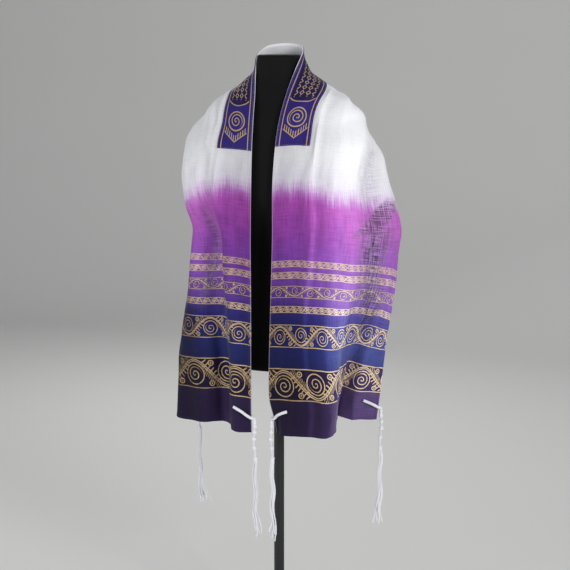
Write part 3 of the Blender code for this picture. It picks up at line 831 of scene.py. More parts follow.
# places worn sheer, and places of painted shade drawn alike: hand, top and bottom above the hem,
# distance across at top and at bottom, half width, how soft its sides are, how much
sheerAndShadedPlaces = (
    (1, 0.565, 0.470, 0.350, 0.232, 0.034, 0.30, 0.80),
    (1, 0.520, 0.400, 0.280, 0.276, 0.048, 0.75, 0.95),
    (1, 0.440, 0.215, 0.268, 0.345, 0.046, 0.80, 0.85),
    # painted shade on the white of the right half
    (1, 0.710, 0.530, 0.284, 0.262, 0.034, 0.95, 0.36),
    (1, 0.330, 0.130, 0.350, 0.350, 0.040, 0.80, 0.34),
    (-1, 0.540, 0.200, 0.158, 0.190, 0.017, 0.80, 0.50),
    # painted shade on the left half, low down towards the selvedge
    (-1, 0.330, -0.080, 0.250, 0.250, 0.090, 0.70, 0.50),
)


def fillRamp(ramp, stops):
    elements = ramp.color_ramp.elements
    for number, (position, colour) in enumerate(stops):
        if number > 1:
            elements.new(position)
        elements[number].position = position
        elements[number].color = colour


# A pattern read with the sizes of whichever band the point is in: how far the nearest line is, how
# thick it is, and whether the point is in a band at all.
def readBands(add, pattern, rows, sizes, fromHem, across):
    offset, within = 1.0, 0.0
    sizes = [sizes[k:k + 3] for k in range(0, len(sizes), 3)]
    for middle, *own in rows:
        inside = add("COMPARE", fromHem, middle, own[0])
        sizes = [
            add("ShaderNodeMix", inside, size, own[3 * k:3 * k + 3], data_type="VECTOR")
            for k, size in enumerate(sizes)
        ]
        offset = add("ShaderNodeMix", inside, offset, add("SUBTRACT", fromHem, middle))
        within = add("ADD", within, inside)
    sizes = [size for triple in sizes for size in add("ShaderNodeSeparateXYZ", triple).outputs]
    distance = add("ShaderNodeGroup", across, offset, *sizes, node_tree=pattern)
    return distance, sizes[-1], within


# How sheer the cloth is worn at a point, and in the shaded places how much painted shade it takes.
def sheerOrShaded(add, along, across, fromHem):
    sheer = 0.0
    for hand, high, low, fromEdge, toEdge, half, soft, amount in sheerAndShadedPlaces:
        centre = add("ShaderNodeMapRange", fromHem, low, high, toEdge, fromEdge)
        here = add("ABSOLUTE", add("SUBTRACT", across, centre))
        sides = (half * (1 - soft), half * (1 + soft / 3))
        here = add("ShaderNodeMapRange", here, *sides, amount, 0.0)
        ends = add("ABSOLUTE", add("SUBTRACT", fromHem, (high + low) / 2))
        fades = ((high - low) * share for share in dye["sheerEnds"])
        here = add("MULTIPLY", here, add("ShaderNodeMapRange", ends, *fades, 1.0, 0.0))
        here = add("MULTIPLY", here, add("GREATER_THAN", add("MULTIPLY", along, hand), 0.0))
        sheer = add("MAXIMUM", sheer, here)
    return sheer


def dipDyedCotton(vine, chain):
    # handwoven cotton, dipped in three dyes and printed in gold: matt, slubby and soft at its edge
    made, add = newMaterial("dipDyedCotton")
    place = add("ShaderNodeUVMap", uv_map="cloth")
    along, across, _ = add("ShaderNodeSeparateXYZ", place).outputs
    down = add("ABSOLUTE", along)
    fromHem = add("SUBTRACT", clothSizes["length"] / 2, down)
    by = {
        name: add("ShaderNodeMapRange", value, *span)
        for group, value in (("fromHem", fromHem), ("across", across), ("down", down),
                             ("along", along))
        for name, span in changes[group].items()
    }

    # slubs run along and across; the dye climbs further along some threads than others
    spacing, run = 1 / dye["slub"], dye["slubRun"]
    warp, weft = slubs(add, place, (run, spacing, 1)), slubs(add, place, (spacing, run, 1))
    wide = slubs(add, place, dye["wide"], 3.0)
    cloud, blotch = (
        add("ShaderNodeTexNoise", {"Vector": place, "Scale": scale, "Detail": detail})
        for scale, detail in dye["clouds"]
    )
    climb = add("MULTIPLY", add("SUBTRACT", warp, 0.5), dye["threadClimb"])
    climb = add("MULTIPLY_ADD", add("SUBTRACT", wide, 0.5), dye["wideClimb"], climb)
    climb = add("MULTIPLY", climb, by["whiteEdge"])
    mixed = add("MULTIPLY", by["blotches"], by["violet"])
    climb = add("MULTIPLY_ADD", add("SUBTRACT", blotch, 0.5), mixed, climb)
    # the white reaches lower towards the selvedge, most of all on the left half
    sag = add("ADD", by["sag"], add("ShaderNodeMix", by["isRight"], by["leftSag"], 0.0))
    sag = add("MULTIPLY", sag, by["whiteEdge"])
    dyed = add("ADD", add("MULTIPLY_ADD", climb, dye["streak"], fromHem), sag)
    dyed = add("DIVIDE", dyed, dye["reach"])
    colour = add("ShaderNodeValToRGB", dyed)
    fillRamp(colour, [(height / dye["reach"], linear(shade)) for height, shade in dye["stops"]])

    bandPlace = (fromHem, across)
    vines, vineLine, inVine = readBands(add, vine, bands["vines"], bands["noVine"], *bandPlace)
    chains, chainLine, inChain = readBands(
        add, chain, bands["chains"], bands["noChain"], *bandPlace
    )
    lines = add("ShaderNodeMix", inChain, vines, chains)
    line = add("ShaderNodeMix", inChain, vineLine, chainLine)
    thin, thick, wider = (add("MULTIPLY", line, share) for share in bands["lineEdge"])
    gilt = add("ShaderNodeMapRange", lines, thin, thick, 1.0, 0.0)
    worn = add("ShaderNodeMapRange", weft, *dye["wornGold"])
    for share in (add("ADD", inVine, inChain), worn, by["thinnerGold"]):
        gilt = add("MULTIPLY", gilt, share)
    outline = add("ShaderNodeMapRange", lines, thick, wider, bands["outline"], 0.0)
    outline = add("MULTIPLY", outline, inVine)
    dark = add("COMPARE", fromHem, *bands["vines"][0][:2])
    gold = add("ShaderNodeMix", by["palerGold"], linear(bands["gold"]), linear(bands["paleGold"]),
               data_type="RGBA")
    for share, shade in ((dark, linear(bands["darkGround"])),
                         (outline, linear(bands["outlineColour"])), (gilt, gold)):
        colour = add("ShaderNodeMix", share, colour, shade, data_type="RGBA")

    # slubs and clouds of dye make the tone uneven, most of all where the dye is
    relief = add("ADD", warp, weft)
    tone = add("MULTIPLY_ADD", cloud, 0.5, relief)
    tone = add("ADD", add("MULTIPLY_ADD", wide, 0.5, tone), -1.5)
    isDyed = add("ShaderNodeMapRange", dyed, *dye["dyedTone"])
    uneven = add("MULTIPLY", isDyed, dye["unevenness"] * 2)
    tone = add("MULTIPLY_ADD", tone, uneven, 1.0)

    # the dye's strength and painted light and shade across the front: where darker, the colour is
    # also stronger
    sides = []
    for hand in (1, 2):
        curve = add("ShaderNodeValToRGB", add("DIVIDE", across, clothSizes["width"]))
        curve.color_ramp.interpolation = "EASE"
        fillRamp(curve, [
            (row[0] / clothSizes["width"], (*[row[hand] / 2] * 3, 1)) for row in dye["dyeAndPaintedLight"]
        ])
        sides.append(curve)
    dyeAndPaintedLight = add("MULTIPLY", add("ShaderNodeMix", by["isRight"], sides[1], sides[0]), 2.0)
    # the dyed cloth takes all the painted shading, the white 0.9 of it, and the nape none
    plain = add("MULTIPLY", add("ShaderNodeMapRange", dyed, *dye["shadingShareByDye"]), by["front"])
    dyeAndPaintedLight = add("ShaderNodeMix", plain, 1.0, dyeAndPaintedLight)
    # painted shade and light: low down, the left half is darker towards the selvedge and the right
    # half lighter
    lowShading = add("ShaderNodeMix", by["isRight"], by["leftPaintedShading"], by["rightPaintedShading"])
    dyeAndPaintedLight = add("MULTIPLY", dyeAndPaintedLight, add("ShaderNodeMix", by["lowPaintedShading"], 1.0, lowShading))
    colour = add("ShaderNodeGamma", colour, add("MULTIPLY_ADD", dyeAndPaintedLight, *dye["deepen"]))
    tone = add("MULTIPLY", tone, dyeAndPaintedLight)
    cloth = add("ShaderNodeVectorMath", colour, tone, operation="SCALE")

    # in the sheer places the dark beyond shows between the threads; in the shaded places these
    # dark threads are painted shade
    fine, close = dye["sheerThreads"]
    threads = [slubs(add, place, scale) for scale in ((fine, close, 1), (close, fine, 1))]
    sheer = sheerOrShaded(add, along, across, fromHem)
    faded = add("MULTIPLY", sheer, by["fadedThreads"])
    seen = add("ShaderNodeMapRange", add("ADD", *threads), *dye["darkBetweenThreads"])
    seen = add("MULTIPLY", seen, sheer)
    # the selvedge's doubled threads took less dye
    edge = add("MINIMUM", add("SUBTRACT", clothSizes["width"], across), across)
    edge = add("ShaderNodeMapRange", edge, *dye["selvedgeEdge"])
    # painted shade: the inside of the collar is greyed at the nape
    collarShadeShare = add("MULTIPLY", add("MULTIPLY", by["collarShade"], by["collarFold"]), by["nape"])
    for share, name in ((faded, "faded"), (seen, "darkBeyondAndShade"), (edge, "selvedge"), (collarShadeShare, "collar")):
        cloth = add("ShaderNodeMix", share, cloth, linear(dye[name]), data_type="RGBA")

    height = add("MULTIPLY_ADD", gilt, dye["goldRelief"], relief)
    bump = add("ShaderNodeBump", {"Height": height, "Strength": 0.6, "Distance": 0.0006})
    rough = add("ShaderNodeMapRange", gilt, *dye["roughness"])
    finish = add("ShaderNodeBsdfPrincipled", {
        "Base Color": cloth, "Roughness": rough, "Normal": bump,
        "Sheen Weight": 0.07, "Sheen Roughness": 0.5, "IOR": 1.3,
    })
    add("ShaderNodeOutputMaterial", finish)
    return made


def hemWeight(stations, across, width, hem):
    side = np.minimum(across, width - across)[None, :]
    end = (stations[-1] - np.abs(stations))[:, None]
    ends, over = clothSizes["hemStep"]
    return 1 - ease((np.minimum(side, end) / hem - ends) / over)


def makeShawl(drape, material):
    thick = hemWeight(drape.stations, drape.across, clothSizes["width"], clothSizes["hemWidth"])
    walls = (clothSizes["wall"], clothSizes["hemWall"])
    shawl = clothSheet(
        "shawlCloth", drape.points, drape.stations, drape.across, walls, thick, material
    )
    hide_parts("shawl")
    return shawl


# the neckband

bandSizes = {
    "width": 0.088,
    "length": 0.706,
    "offset": -0.006,
    "inset": 0.0012,
    "lift": 0.0017,
    "wall": 0.0009,
    "hemWall": 0.0013,
    "hemWidth": 0.004,
    "step": 0.0042,
    "rows": 22,  # points across
}


def makeNeckband(drape, material):
    half = bandSizes["length"] / 2
    local = np.linspace(-half, half, round(bandSizes["length"] / bandSizes["step"]))
    across = np.linspace(bandSizes["inset"], bandSizes["width"], bandSizes["rows"])
    stations = (local + bandSizes["offset"])[:, None]
    points = drape.lyingPath(stations, across[None, :], bandSizes["lift"])
    width = bandSizes["width"] - bandSizes["inset"]
    thick = hemWeight(local, across - bandSizes["inset"], width, bandSizes["hemWidth"])
    walls = (bandSizes["wall"], bandSizes["hemWall"])
    band = clothSheet("neckband", points, local, across, walls, thick, material)
    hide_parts("atarah")
    return band


bandPattern = {
    "ground": "#271B69",
    "deep": "#120B30",
    "gold": "#B0946F",
    "line": 0.0011,
    "lineEdge": (0.8, 1.4),
    "innerLine": 0.0105,  # across, from the neck edge
    "outerLine": 0.0790,
    "middle": 0.0455,
    "field": 0.0295,  # half the width that holds figures
    "roundel": 0.064,  # from the band's end
    "roundelRadius": 0.0225,
    "roundelLine": 0.0003,
    "curlPitch": 0.0088,
    "curlShort": 0.006,
    "chevron": (0.75, 0.016),  # slope, and its tip from the band's end
    "barbs": 170.0,  # in a metre
    "barbPitch": 0.0059,
    "barbReach": 0.012,
    "barbClear": 0.003,
    "cup": 0.142,
    "cupRadius": 0.040,
    "cupRim": 0.010,
    "lozengeStep": (0.020, 0.0145),
    "lozengeLong": 0.62,
    "lozenge": 0.0046,
    "lozengesFrom": 0.118,
    "lozengeRows": 1.5,
    "deepen": 0.75,
    "inCup": (0.001, 0.003),  # in from the cup's line
    "aboveCup": (0.004, 0.01),  # below and above the cup's middle
    "deepEdge": (0.030, 0.031),
    "threads": (500, 60, 1),
    "threadTone": (0.3, 0.7, 0.88, 1.12),  # noise from and to, and the tone at both
    "goldRelief": 0.6,
    "roughness": (0.0, 1.0, 0.64, 0.50),
}


def brocadedSateen():
    # indigo sateen with gold weft figures, which gives a smoother, slightly shining face
    made, add = newMaterial("brocadedSateen")
    size = bandPattern
    place = add("ShaderNodeUVMap", uv_map="cloth")
    along, across, _ = add("ShaderNodeSeparateXYZ", place).outputs
    fromEnd = add("SUBTRACT", bandSizes["length"] / 2, add("ABSOLUTE", along))
    side = add("SUBTRACT", across, size["middle"])
    aside = add("ABSOLUTE", side)

    # a ring with a curl in it
    up = add("SUBTRACT", fromEnd, size["roundel"])
    inner = size["roundelRadius"] - size["curlShort"]
    radius, coil = spiralCurl(add, side, up, size["curlPitch"], inner)
    ring = add("ABSOLUTE", add("SUBTRACT", radius, size["roundelRadius"]))
    ring = add("SUBTRACT", ring, size["roundelLine"])

    # a chevron with barbs below the ring, and a cup above it
    chevronUp = add("SUBTRACT", fromEnd, add("MULTIPLY_ADD", aside, *size["chevron"]))
    chevron = add("ABSOLUTE", chevronUp)
    barb = evenLines(add, add("MULTIPLY", side, size["barbs"]), size["barbPitch"])
    reach = add("SUBTRACT", chevronUp, size["barbReach"])
    below = add("SUBTRACT", 0.0, chevronUp)
    near = add("SUBTRACT", size["roundelRadius"] + size["barbClear"], radius)
    for limit in (reach, below, near):
        barb = add("MAXIMUM", barb, limit)
    cupUp = add("SUBTRACT", fromEnd, size["cup"])
    cupRadius = distanceOf(add, side, cupUp)
    cup = add("ABSOLUTE", add("SUBTRACT", cupRadius, size["cupRadius"]))
    cup = add("MAXIMUM", cup, add("ADD", cupUp, size["cupRim"]))

    # rows of lozenges above the cup
    stepX, stepY = size["lozengeStep"]
    cells = add("ShaderNodeCombineXYZ", add("DIVIDE", fromEnd, stepX), add("DIVIDE", side, stepY))
    cells = add("ShaderNodeVectorMath", cells, operation="FRACTION")
    cells = add("ShaderNodeVectorMath", cells, (0.5, 0.5, 0.5), operation="SUBTRACT")
    cells = add("ShaderNodeVectorMath", cells, operation="ABSOLUTE")
    cells = add("ShaderNodeVectorMath", cells, (stepX * size["lozengeLong"], stepY, 0),
                operation="DOT_PRODUCT")
    lozenge = add("ABSOLUTE", add("SUBTRACT", cells, size["lozenge"]))
    above = add("SUBTRACT", size["lozengesFrom"], fromEnd)
    apart = add("SUBTRACT", aside, stepY * size["lozengeRows"])
    for limit in (above, apart):
        lozenge = add("MAXIMUM", lozenge, limit)

    nearest = ring
    for other in (coil, chevron, barb, cup, lozenge):
        nearest = add("MINIMUM", nearest, other)
    nearest = add("MAXIMUM", nearest, add("SUBTRACT", aside, size["field"]))
    for name in ("innerLine", "outerLine"):
        nearest = add("MINIMUM", nearest, add("ABSOLUTE", add("SUBTRACT", across, size[name])))
    thin, thick = (size["line"] * share for share in size["lineEdge"])
    gold = add("ShaderNodeMapRange", nearest, thin, thick, 1.0, 0.0)

    # the ground is nearly black inside the cup and above it
    edges = (size["cupRadius"] - inwards for inwards in size["inCup"])
    inCup = add("ShaderNodeMapRange", cupRadius, *edges, 0.0, 1.0)
    below, above = size["aboveCup"]
    high = (size["cup"] - below, size["cup"] + above, 0.0, 1.0)
    high = add("ShaderNodeMapRange", fromEnd, *high)
    deep = add("MULTIPLY", add("MAXIMUM", inCup, high), size["deepen"])
    inField = add("ShaderNodeMapRange", aside, *size["deepEdge"], 1.0, 0.0)
    deep = add("MULTIPLY", deep, inField)
    colour = add("ShaderNodeMix", deep, linear(size["ground"]), linear(size["deep"]),
                 data_type="RGBA")
    colour = add("ShaderNodeMix", gold, colour, linear(size["gold"]), data_type="RGBA")
    thread = slubs(add, place, size["threads"])
    tone = add("ShaderNodeMapRange", thread, *size["threadTone"])
    tinted = add("ShaderNodeVectorMath", colour, tone, operation="SCALE")
    height = add("MULTIPLY_ADD", gold, size["goldRelief"], thread)
    bump = add("ShaderNodeBump", {"Height": height, "Strength": 0.5, "Distance": 0.0004})
    rough = add("ShaderNodeMapRange", gold, *size["roughness"])
    finish = add("ShaderNodeBsdfPrincipled", {
        "Base Color": tinted, "Roughness": rough, "Normal": bump, "Sheen Weight": 0.04, "IOR": 1.3,
    })
    add("ShaderNodeOutputMaterial", finish)
    return made


# the corner tassels

tasselSizes = {
    "eyeletFromHem": 0.060,
    "eyeletFromEdge": 0.045,
    "crossingFromHem": 0.038,
    "seamGap": 0.0003,
    "rise": 0.0018,  # how far the cord bows off the cloth
    "leaning": 1.3,
    "edgeProbe": 0.006,
    # how the cord turns over the edge, as shares of its distance off the cloth
    "turnOver": {"face": 0.75, "out": 0.9, "past": 1.4, "down": 0.8},
    # twist is in turns in a metre, and around is how far a ply's middle is from the cord's
    "cord": {"plies": 4, "twist": 70, "around": 0.0020, "radius": 0.0018, "step": 0.0016},
    "winding": {"plies": 1, "twist": 560, "around": 0.0022, "radius": 0.00072, "step": 0.00018},
    "core": {"plies": 3, "twist": 60.0, "around": 0.0009, "radius": 0.0010, "step": 0.002},
    "knot": {"plies": 2, "twist": 230.0, "around": 0.0040, "radius": 0.00130, "step": 0.0003},
    "strand": {"plies": 2, "twist": 150.0, "around": 0.0007, "radius": 0.0010, "step": 0.0011},
    "points": {"run": 16, "edge": 12, "winding": 40, "knot": 8, "strand": 60},
    "firstKnot": 0.016,
    "neck": (0.5, 0.9),  # where the cord's last points are, as shares of the way to that knot
    "woundFrom": 0.8,
    "knotGaps": (0.014, 0.017, 0.022, 0.026),
    "knotHalf": 0.0035,
    "strands": 8,
    "strandRoot": 0.006,
    "strandTuck": 0.002,
    "strandLength": 0.188,
    "strandSpread": 0.0056,
    "longest": 1.05,  # the first strand, as a share of its length
    # what differs from strand to strand, drawn in this order
    "vary": {
        "turn": (-0.3, 0.3), "spread": (0.35, 1.25), "length": (0.90, 1.0), "bow": (0.25, 1.1),
        "twirl": (0, 6.28), "waves": (1.2, 2.6), "frayOut": (-0.4, 1.0), "frayAside": (0.2, 0.7),
    },
    "rootRadius": 0.0022,
    "ripple": (0.0012, 0.0014),  # outwards and sideways
    "frayFrom": 0.86,
    "strayFrom": 0.6,
    "fray": 0.008,
    "sway": 0.0016,
    "swayWave": 0.085,
    "swayFrom": 0.03,
    "seed": 11,
    "wool": ("#E2E3EA", "#FAFAFC"),
}
# name, node, hand, edge that it hangs from, drift towards its foot, how far one strand strays
tassels = (
    ("tasselInnerRight", "tzitzit_inner_right", -1, "neck", 0.002, 0.008),
    ("tasselInnerLeft", "tzitzit_inner_left", 1, "neck", 0.005, 0.0),
    ("tasselOuterRight", "tzitzit_outer_right", -1, "selvedge", 0.006, 0.020),
    ("tasselOuterLeft", "tzitzit_outer_left", 1, "selvedge", -0.005, 0.0),
)


# A tree that makes something of paths, with its inputs and what adds a node to it.
def pathGroup(name, output, **sizes):
    inputs = {"path": "Geometry", **sizes, "material": "Material"}
    return newGroup(name, "GeometryNodeTree", inputs, {output: "Geometry"})


def endPathGroup(add, made, material):
    made = add("GeometryNodeRealizeInstances", made)
    made = add("GeometryNodeSetShadeSmooth", {"Geometry": made})
    made = add("GeometryNodeSetMaterial", {"Geometry": made, "Material": material})
    add("NodeGroupOutput", made)


# Strands that twist round each path of a curve object.
def pliedCordTree():
    tree, add, given = pathGroup(
        "pliedCord", "cord", plies="Int", twist="Float", around="Float", radius="Float",
        step="Float",
    )
    path = add("GeometryNodeResampleCurve", {"Curve": given["path"], "Length": given["step"]},
               mode="LENGTH")
    copies = add("GeometryNodeDuplicateElements", {"Geometry": path, "Amount": given["plies"]},
                 domain="SPLINE")
    number = add("DIVIDE", copies.outputs["Duplicate Index"], given["plies"])
    length = add("GeometryNodeSplineParameter").outputs["Length"]
    turn = add("MULTIPLY_ADD", length, given["twist"], number)
    turn = add("MULTIPLY", turn, 2 * math.pi)
    tangent = add("GeometryNodeInputTangent")
    normal = add("GeometryNodeInputNormal")
    sideways = add("ShaderNodeVectorMath", tangent, normal, operation="CROSS_PRODUCT")
    a, b = (
        add("ShaderNodeVectorMath", way, add("MULTIPLY", add(wave, turn), given["around"]),
            operation="SCALE")
        for way, wave in ((normal, "COSINE"), (sideways, "SINE"))
    )
    offset = add("ShaderNodeVectorMath", a, b, operation="ADD")
    moved = add("GeometryNodeSetPosition", {"Geometry": copies, "Offset": offset})
    profile = add("GeometryNodeCurvePrimitiveCircle", {"Resolution": 6, "Radius": given["radius"]})
    cord = add("GeometryNodeCurveToMesh",
               {"Curve": moved, "Profile Curve": profile, "Fill Caps": True})
    endPathGroup(add, cord, given["material"])
    return tree


# The cord's path on one face of the cloth, from its eyelet to where it hangs past the edge.
def cordRun(drape, hand, edge, face):
    size = tasselSizes
    half = clothSizes["length"] / 2
    start, inward = (0, 1) if edge == "neck" else (clothSizes["width"], -1)
    off = clothSizes["hemWall"] / 2 + size["seamGap"]
    off += size["cord"]["around"] + size["cord"]["radius"]
    t = np.linspace(0, 1, size["points"]["run"])
    lower = size["eyeletFromHem"] - size["crossingFromHem"]
    stations = hand * (half - size["eyeletFromHem"] + lower * t ** size["leaning"])
    points, normals = drape.read(stations, start + inward * size["eyeletFromEdge"] * (1 - t))
    bowed = off + size["rise"] * np.sin(math.pi * t)
    path = list(points + face * bowed[:, None] * normals)
    crossing = half - size["crossingFromHem"]
    outer, normal = drape.read(hand * crossing, start)
    inner, _ = drape.read(hand * crossing, start + inward * size["edgeProbe"])
    out = (outer - inner) * (1, 1, 0)
    out /= np.linalg.norm(out)
    over = {way: share * off for way, share in size["turnOver"].items()}
    path.append(outer + face * over["face"] * normal + over["out"] * out)
    below = hand * np.linspace(crossing, half, size["points"]["edge"])
    below, _ = drape.read(below, start)
    reach = ((below - outer) @ out).max() + over["past"]
    path.append(outer + reach * out - np.array([0, 0, over["down"]]))
    return path


def roundedPath(path, steps=5):
    path = np.array(path)
    run = runAlong(path)
    fine = np.linspace(0, run[-1], len(path) * steps)
    smooth = np.stack([np.interp(fine, run, path[:, k]) for k in range(3)], axis=1)
    for _ in range(3 * steps):
        smooth[1:-1] = (smooth[:-2] + 2 * smooth[1:-1] + smooth[2:]) / 4
    return smooth


# Runs curves through a Geometry Nodes tree and returns the mesh.
def meshAlong(tree, paths, **values):
    curve = bpy.data.curves.new("paths", "CURVE")
    curve.dimensions = "3D"
    for path in paths:
        line = curve.splines.new("POLY")
        line.points.add(len(path) - 1)
        line.points.foreach_set("co", np.hstack([path, np.ones((len(path), 1))]).ravel())
    holder = bpy.data.objects.new("paths", curve)
    home.objects.link(holder)
    nodes = holder.modifiers.new("along", "NODES")
    nodes.node_group = tree
    sockets = {item.name: item.identifier for item in tree.interface.items_tree}
    for name, value in values.items():
        nodes[sockets[name]] = value
    mesh = bakedMesh(holder)
    bpy.data.objects.remove(holder)
    bpy.data.curves.remove(curve)
    return mesh


# Where a hanging cord has come to at each depth below its top, with a slight sway.
def hungPath(top, depths, phase):
    sway = tasselSizes["sway"] * ease(depths / tasselSizes["swayFrom"])
    x = sway * np.sin(2 * math.pi * depths / tasselSizes["swayWave"] + phase)
    return top + np.stack([x, 0.5 * x, -depths], axis=1)


# The loose strands below the last knot, which spread, ripple and fray at their ends.
def looseStrands(top, bottom, phase, drift, stray, chance):
    size = tasselSizes
    outwards, sideways = size["ripple"]
    t = np.linspace(0, 1, size["points"]["strand"])
    kink = ease((t - size["frayFrom"]) / (1 - size["frayFrom"]))
    paths = []
    for number in range(size["strands"]):
        turned, wide, long, bow, twirl, waves, frayOut, frayAside = (
            chance.uniform(*span) for span in size["vary"].values()
        )
        turn = 2 * math.pi * (number + 0.5) / size["strands"] + turned
        reach = (size["strandLength"] + size["strandRoot"]) * long
        out = size["rootRadius"] * (1 - t) + size["strandSpread"] * wide * t ** bow
        out = out + outwards * np.sin(2 * math.pi * waves * t + twirl) * t
        side = sideways * np.sin(2 * math.pi * (waves + 0.4) * t + 2 * twirl) * t
        out = out + size["fray"] * kink * frayOut
        side = side + size["fray"] * kink * np.sin(9 * t + twirl) * frayAside
        x = out * math.cos(turn) - side * math.sin(turn) + drift * t ** 2
        y = out * math.sin(turn) + side * math.cos(turn)
        if number == 0:
            reach *= size["longest"]
            x = x + stray * ease((t - size["strayFrom"]) / (1 - size["strayFrom"]))
        hung = hungPath(top, bottom - size["strandTuck"] + reach * t, phase)
        paths.append(hung + np.stack([x, y, 0 * t], axis=1))
    return paths


def makeTassel(drape, tree, material, name, node, hand, edge, drift, stray, chance):
    size = tasselSizes
    front, back = (cordRun(drape, hand, edge, face) for face in (1, -1))
    top = front[-1]
    knots = size["firstKnot"] + np.concatenate([[0], np.cumsum(size["knotGaps"])])
    bottom = knots[-1] + size["knotHalf"]
    phase = chance.uniform(0, 2 * math.pi)
    neck = list(hungPath(top, size["firstKnot"] * np.array(size["neck"]), phase))
    wound = np.linspace(size["firstKnot"] * size["woundFrom"], bottom, size["points"]["winding"])
    wound = hungPath(top, wound, phase)
    knotRun = size["knotHalf"] * np.linspace(-1, 1, size["points"]["knot"])
    runs = {
        "cord": [roundedPath(front + neck), roundedPath(back + neck)],
        "winding": [wound],
        "core": [wound],
        "knot": [hungPath(top, knot + knotRun, phase) for knot in knots],
        "strand": looseStrands(top, bottom, phase, drift, stray, chance),
    }
    bm = bmesh.new()
    for kind, paths in runs.items():
        bm.from_mesh(meshAlong(tree, paths, material=material, **size[kind]))
    joined = bpy.data.meshes.new(name)
    bm.to_mesh(joined)
    bm.free()
    joined.shade_smooth()
    addPiece(name, joined, material, node)


def pliedWool():
    # bleached wool twine, plied and slightly hairy, which gives it a soft white edge
    made, add = newMaterial("pliedWool")
    place = add("ShaderNodeTexCoord").outputs["Object"]
    fluff = add("ShaderNodeTexNoise", {"Vector": place, "Scale": 900.0, "Detail": 2.0})
    darker, lighter = (linear(colour) for colour in tasselSizes["wool"])
    tone = add("ShaderNodeMix", fluff, darker, lighter, data_type="RGBA")
    bump = add("ShaderNodeBump", {"Height": fluff, "Strength": 0.4, "Distance": 0.0003})
    finish = add("ShaderNodeBsdfPrincipled", {
        "Base Color": tone, "Roughness": 0.85, "Normal": bump, "Sheen Weight": 0.3, "IOR": 1.5,
    })
    add("ShaderNodeOutputMaterial", finish)
    return made


# stitches

stitches = {
    "spacing": 0.0034,
    "length": 0.0022,
    "radius": 0.00024,
    "lift": 0.0001,
    "hemIn": 0.0055,
    "bandIn": 0.0021,
    "eyelet": 0.0036,
    # points along a path and across it, close enough to follow the cloth
    "hemPoints": (700, 160),
    "bandPoints": (300, 40),
    "eyeletPoints": 40,
    "tone": (0.3, 0.7, 0.85, 1.1),  # noise from and to, and the tone at both
    # height above the floor, colour
    "dipped": (
        (0.58, "#3A2A50"), (0.70, "#3B4080"), (0.86, "#7C4C9E"), (1.03, "#9C50A6"),
        (1.10, "#E4E0EC"),
    ),
    "gold": ((0.0, "#B89A6C"), (2.0, "#B89A6C")),
}


# Small rounded stitches laid end to end along each path of a curve object.
def stitchTree():
    tree, add, given = pathGroup(
        "stitchRow", "row", spacing="Float", length="Float", radius="Float"
    )
    path = add("GeometryNodeResampleCurve", {"Curve": given["path"], "Length": given["spacing"]},
               mode="LENGTH")
    halfLength = add("MULTIPLY", given["length"], 0.5)
    size = add("ShaderNodeCombineXYZ", given["radius"], given["radius"], halfLength)
    ball = add("GeometryNodeMeshUVSphere", {"Segments": 6, "Rings": 4, "Radius": 1.0})
    tangent = add("GeometryNodeInputTangent")
    turn = add("FunctionNodeAlignRotationToVector", {"Vector": tangent}, axis="Z")
    row = add("GeometryNodeInstanceOnPoints",
              {"Points": path, "Instance": ball, "Rotation": turn, "Scale": size})
    endPathGroup(add, row, given["material"])
    return tree


# Paths along the four sides of a sheet, each with as many points as counts says.
def sidePaths(drape, stations, acrosses, counts, lift):
    run, side = np.linspace(*stations, counts[0]), np.linspace(*acrosses, counts[1])
    return (
        [drape.lyingPath(run, np.full(counts[0], v), lift) for v in acrosses]
        + [drape.lyingPath(np.full(counts[1], s), side, lift) for s in stations]
    )


def sewStitches(name, tree, paths, material):
    sizes = {key: stitches[key] for key in ("spacing", "length", "radius")}
    addPiece(name, meshAlong(tree, paths, material=material, **sizes), material)


def makeHemStitches(drape, tree, material):
    half, width, into = clothSizes["length"] / 2, clothSizes["width"], stitches["hemIn"]
    lift, points = clothSizes["hemWall"] / 2 + stitches["lift"], stitches["hemPoints"]
    paths = sidePaths(drape, (-half + into, half - into), (into, width - into), points, lift)
    turn = np.linspace(0, 2 * math.pi, stitches["eyeletPoints"])
    atHem, atEdge = tasselSizes["eyeletFromHem"], tasselSizes["eyeletFromEdge"]
    paths += [
        drape.lyingPath(
            hand * (half - atHem) + stitches["eyelet"] * np.cos(turn),
            v + stitches["eyelet"] * np.sin(turn), clothSizes["wall"] / 2 + stitches["lift"],
        )
        for hand in (-1, 1) for v in (atEdge, width - atEdge)
    ]
    sewStitches("hemStitches", tree, paths, material)


def makeBandStitches(drape, tree, material):
    size, into = bandSizes, stitches["bandIn"]
    half = size["length"] / 2 - into
    lift = size["lift"] + size["hemWall"] / 2 + stitches["lift"]
    stations = (-half + size["offset"], half + size["offset"])
    acrosses = (size["inset"] + into, size["width"] - into)
    paths = sidePaths(drape, stations, acrosses, stitches["bandPoints"], lift)
    sewStitches("neckbandStitches", tree, paths, material)


def spunThread(name, colours):
    # polished cotton sewing thread, with a slight shine: the hem's was dipped with the cloth and
    # came out a little paler, and the neckband's is one gold
    made, add = newMaterial(name)
    place = add("ShaderNodeTexCoord").outputs["Object"]
    height = add("ShaderNodeSeparateXYZ", place).outputs[2]
    colour = linear(colours[-1][1])
    for (low, below), (high, _) in reversed(list(zip(colours, colours[1:]))):
        share = add("ShaderNodeMapRange", height, low, high)
        colour = add("ShaderNodeMix", share, linear(below), colour, data_type="RGBA")
    twist = add("ShaderNodeTexNoise", {"Vector": place, "Scale": 1500.0})
    tone = add("ShaderNodeMapRange", twist, *stitches["tone"])
    tinted = add("ShaderNodeVectorMath", colour, tone, operation="SCALE")
    finish = add("ShaderNodeBsdfPrincipled", {"Base Color": tinted, "Roughness": 0.5})
    add("ShaderNodeOutputMaterial", finish)
    return made


# the dress form and its stand

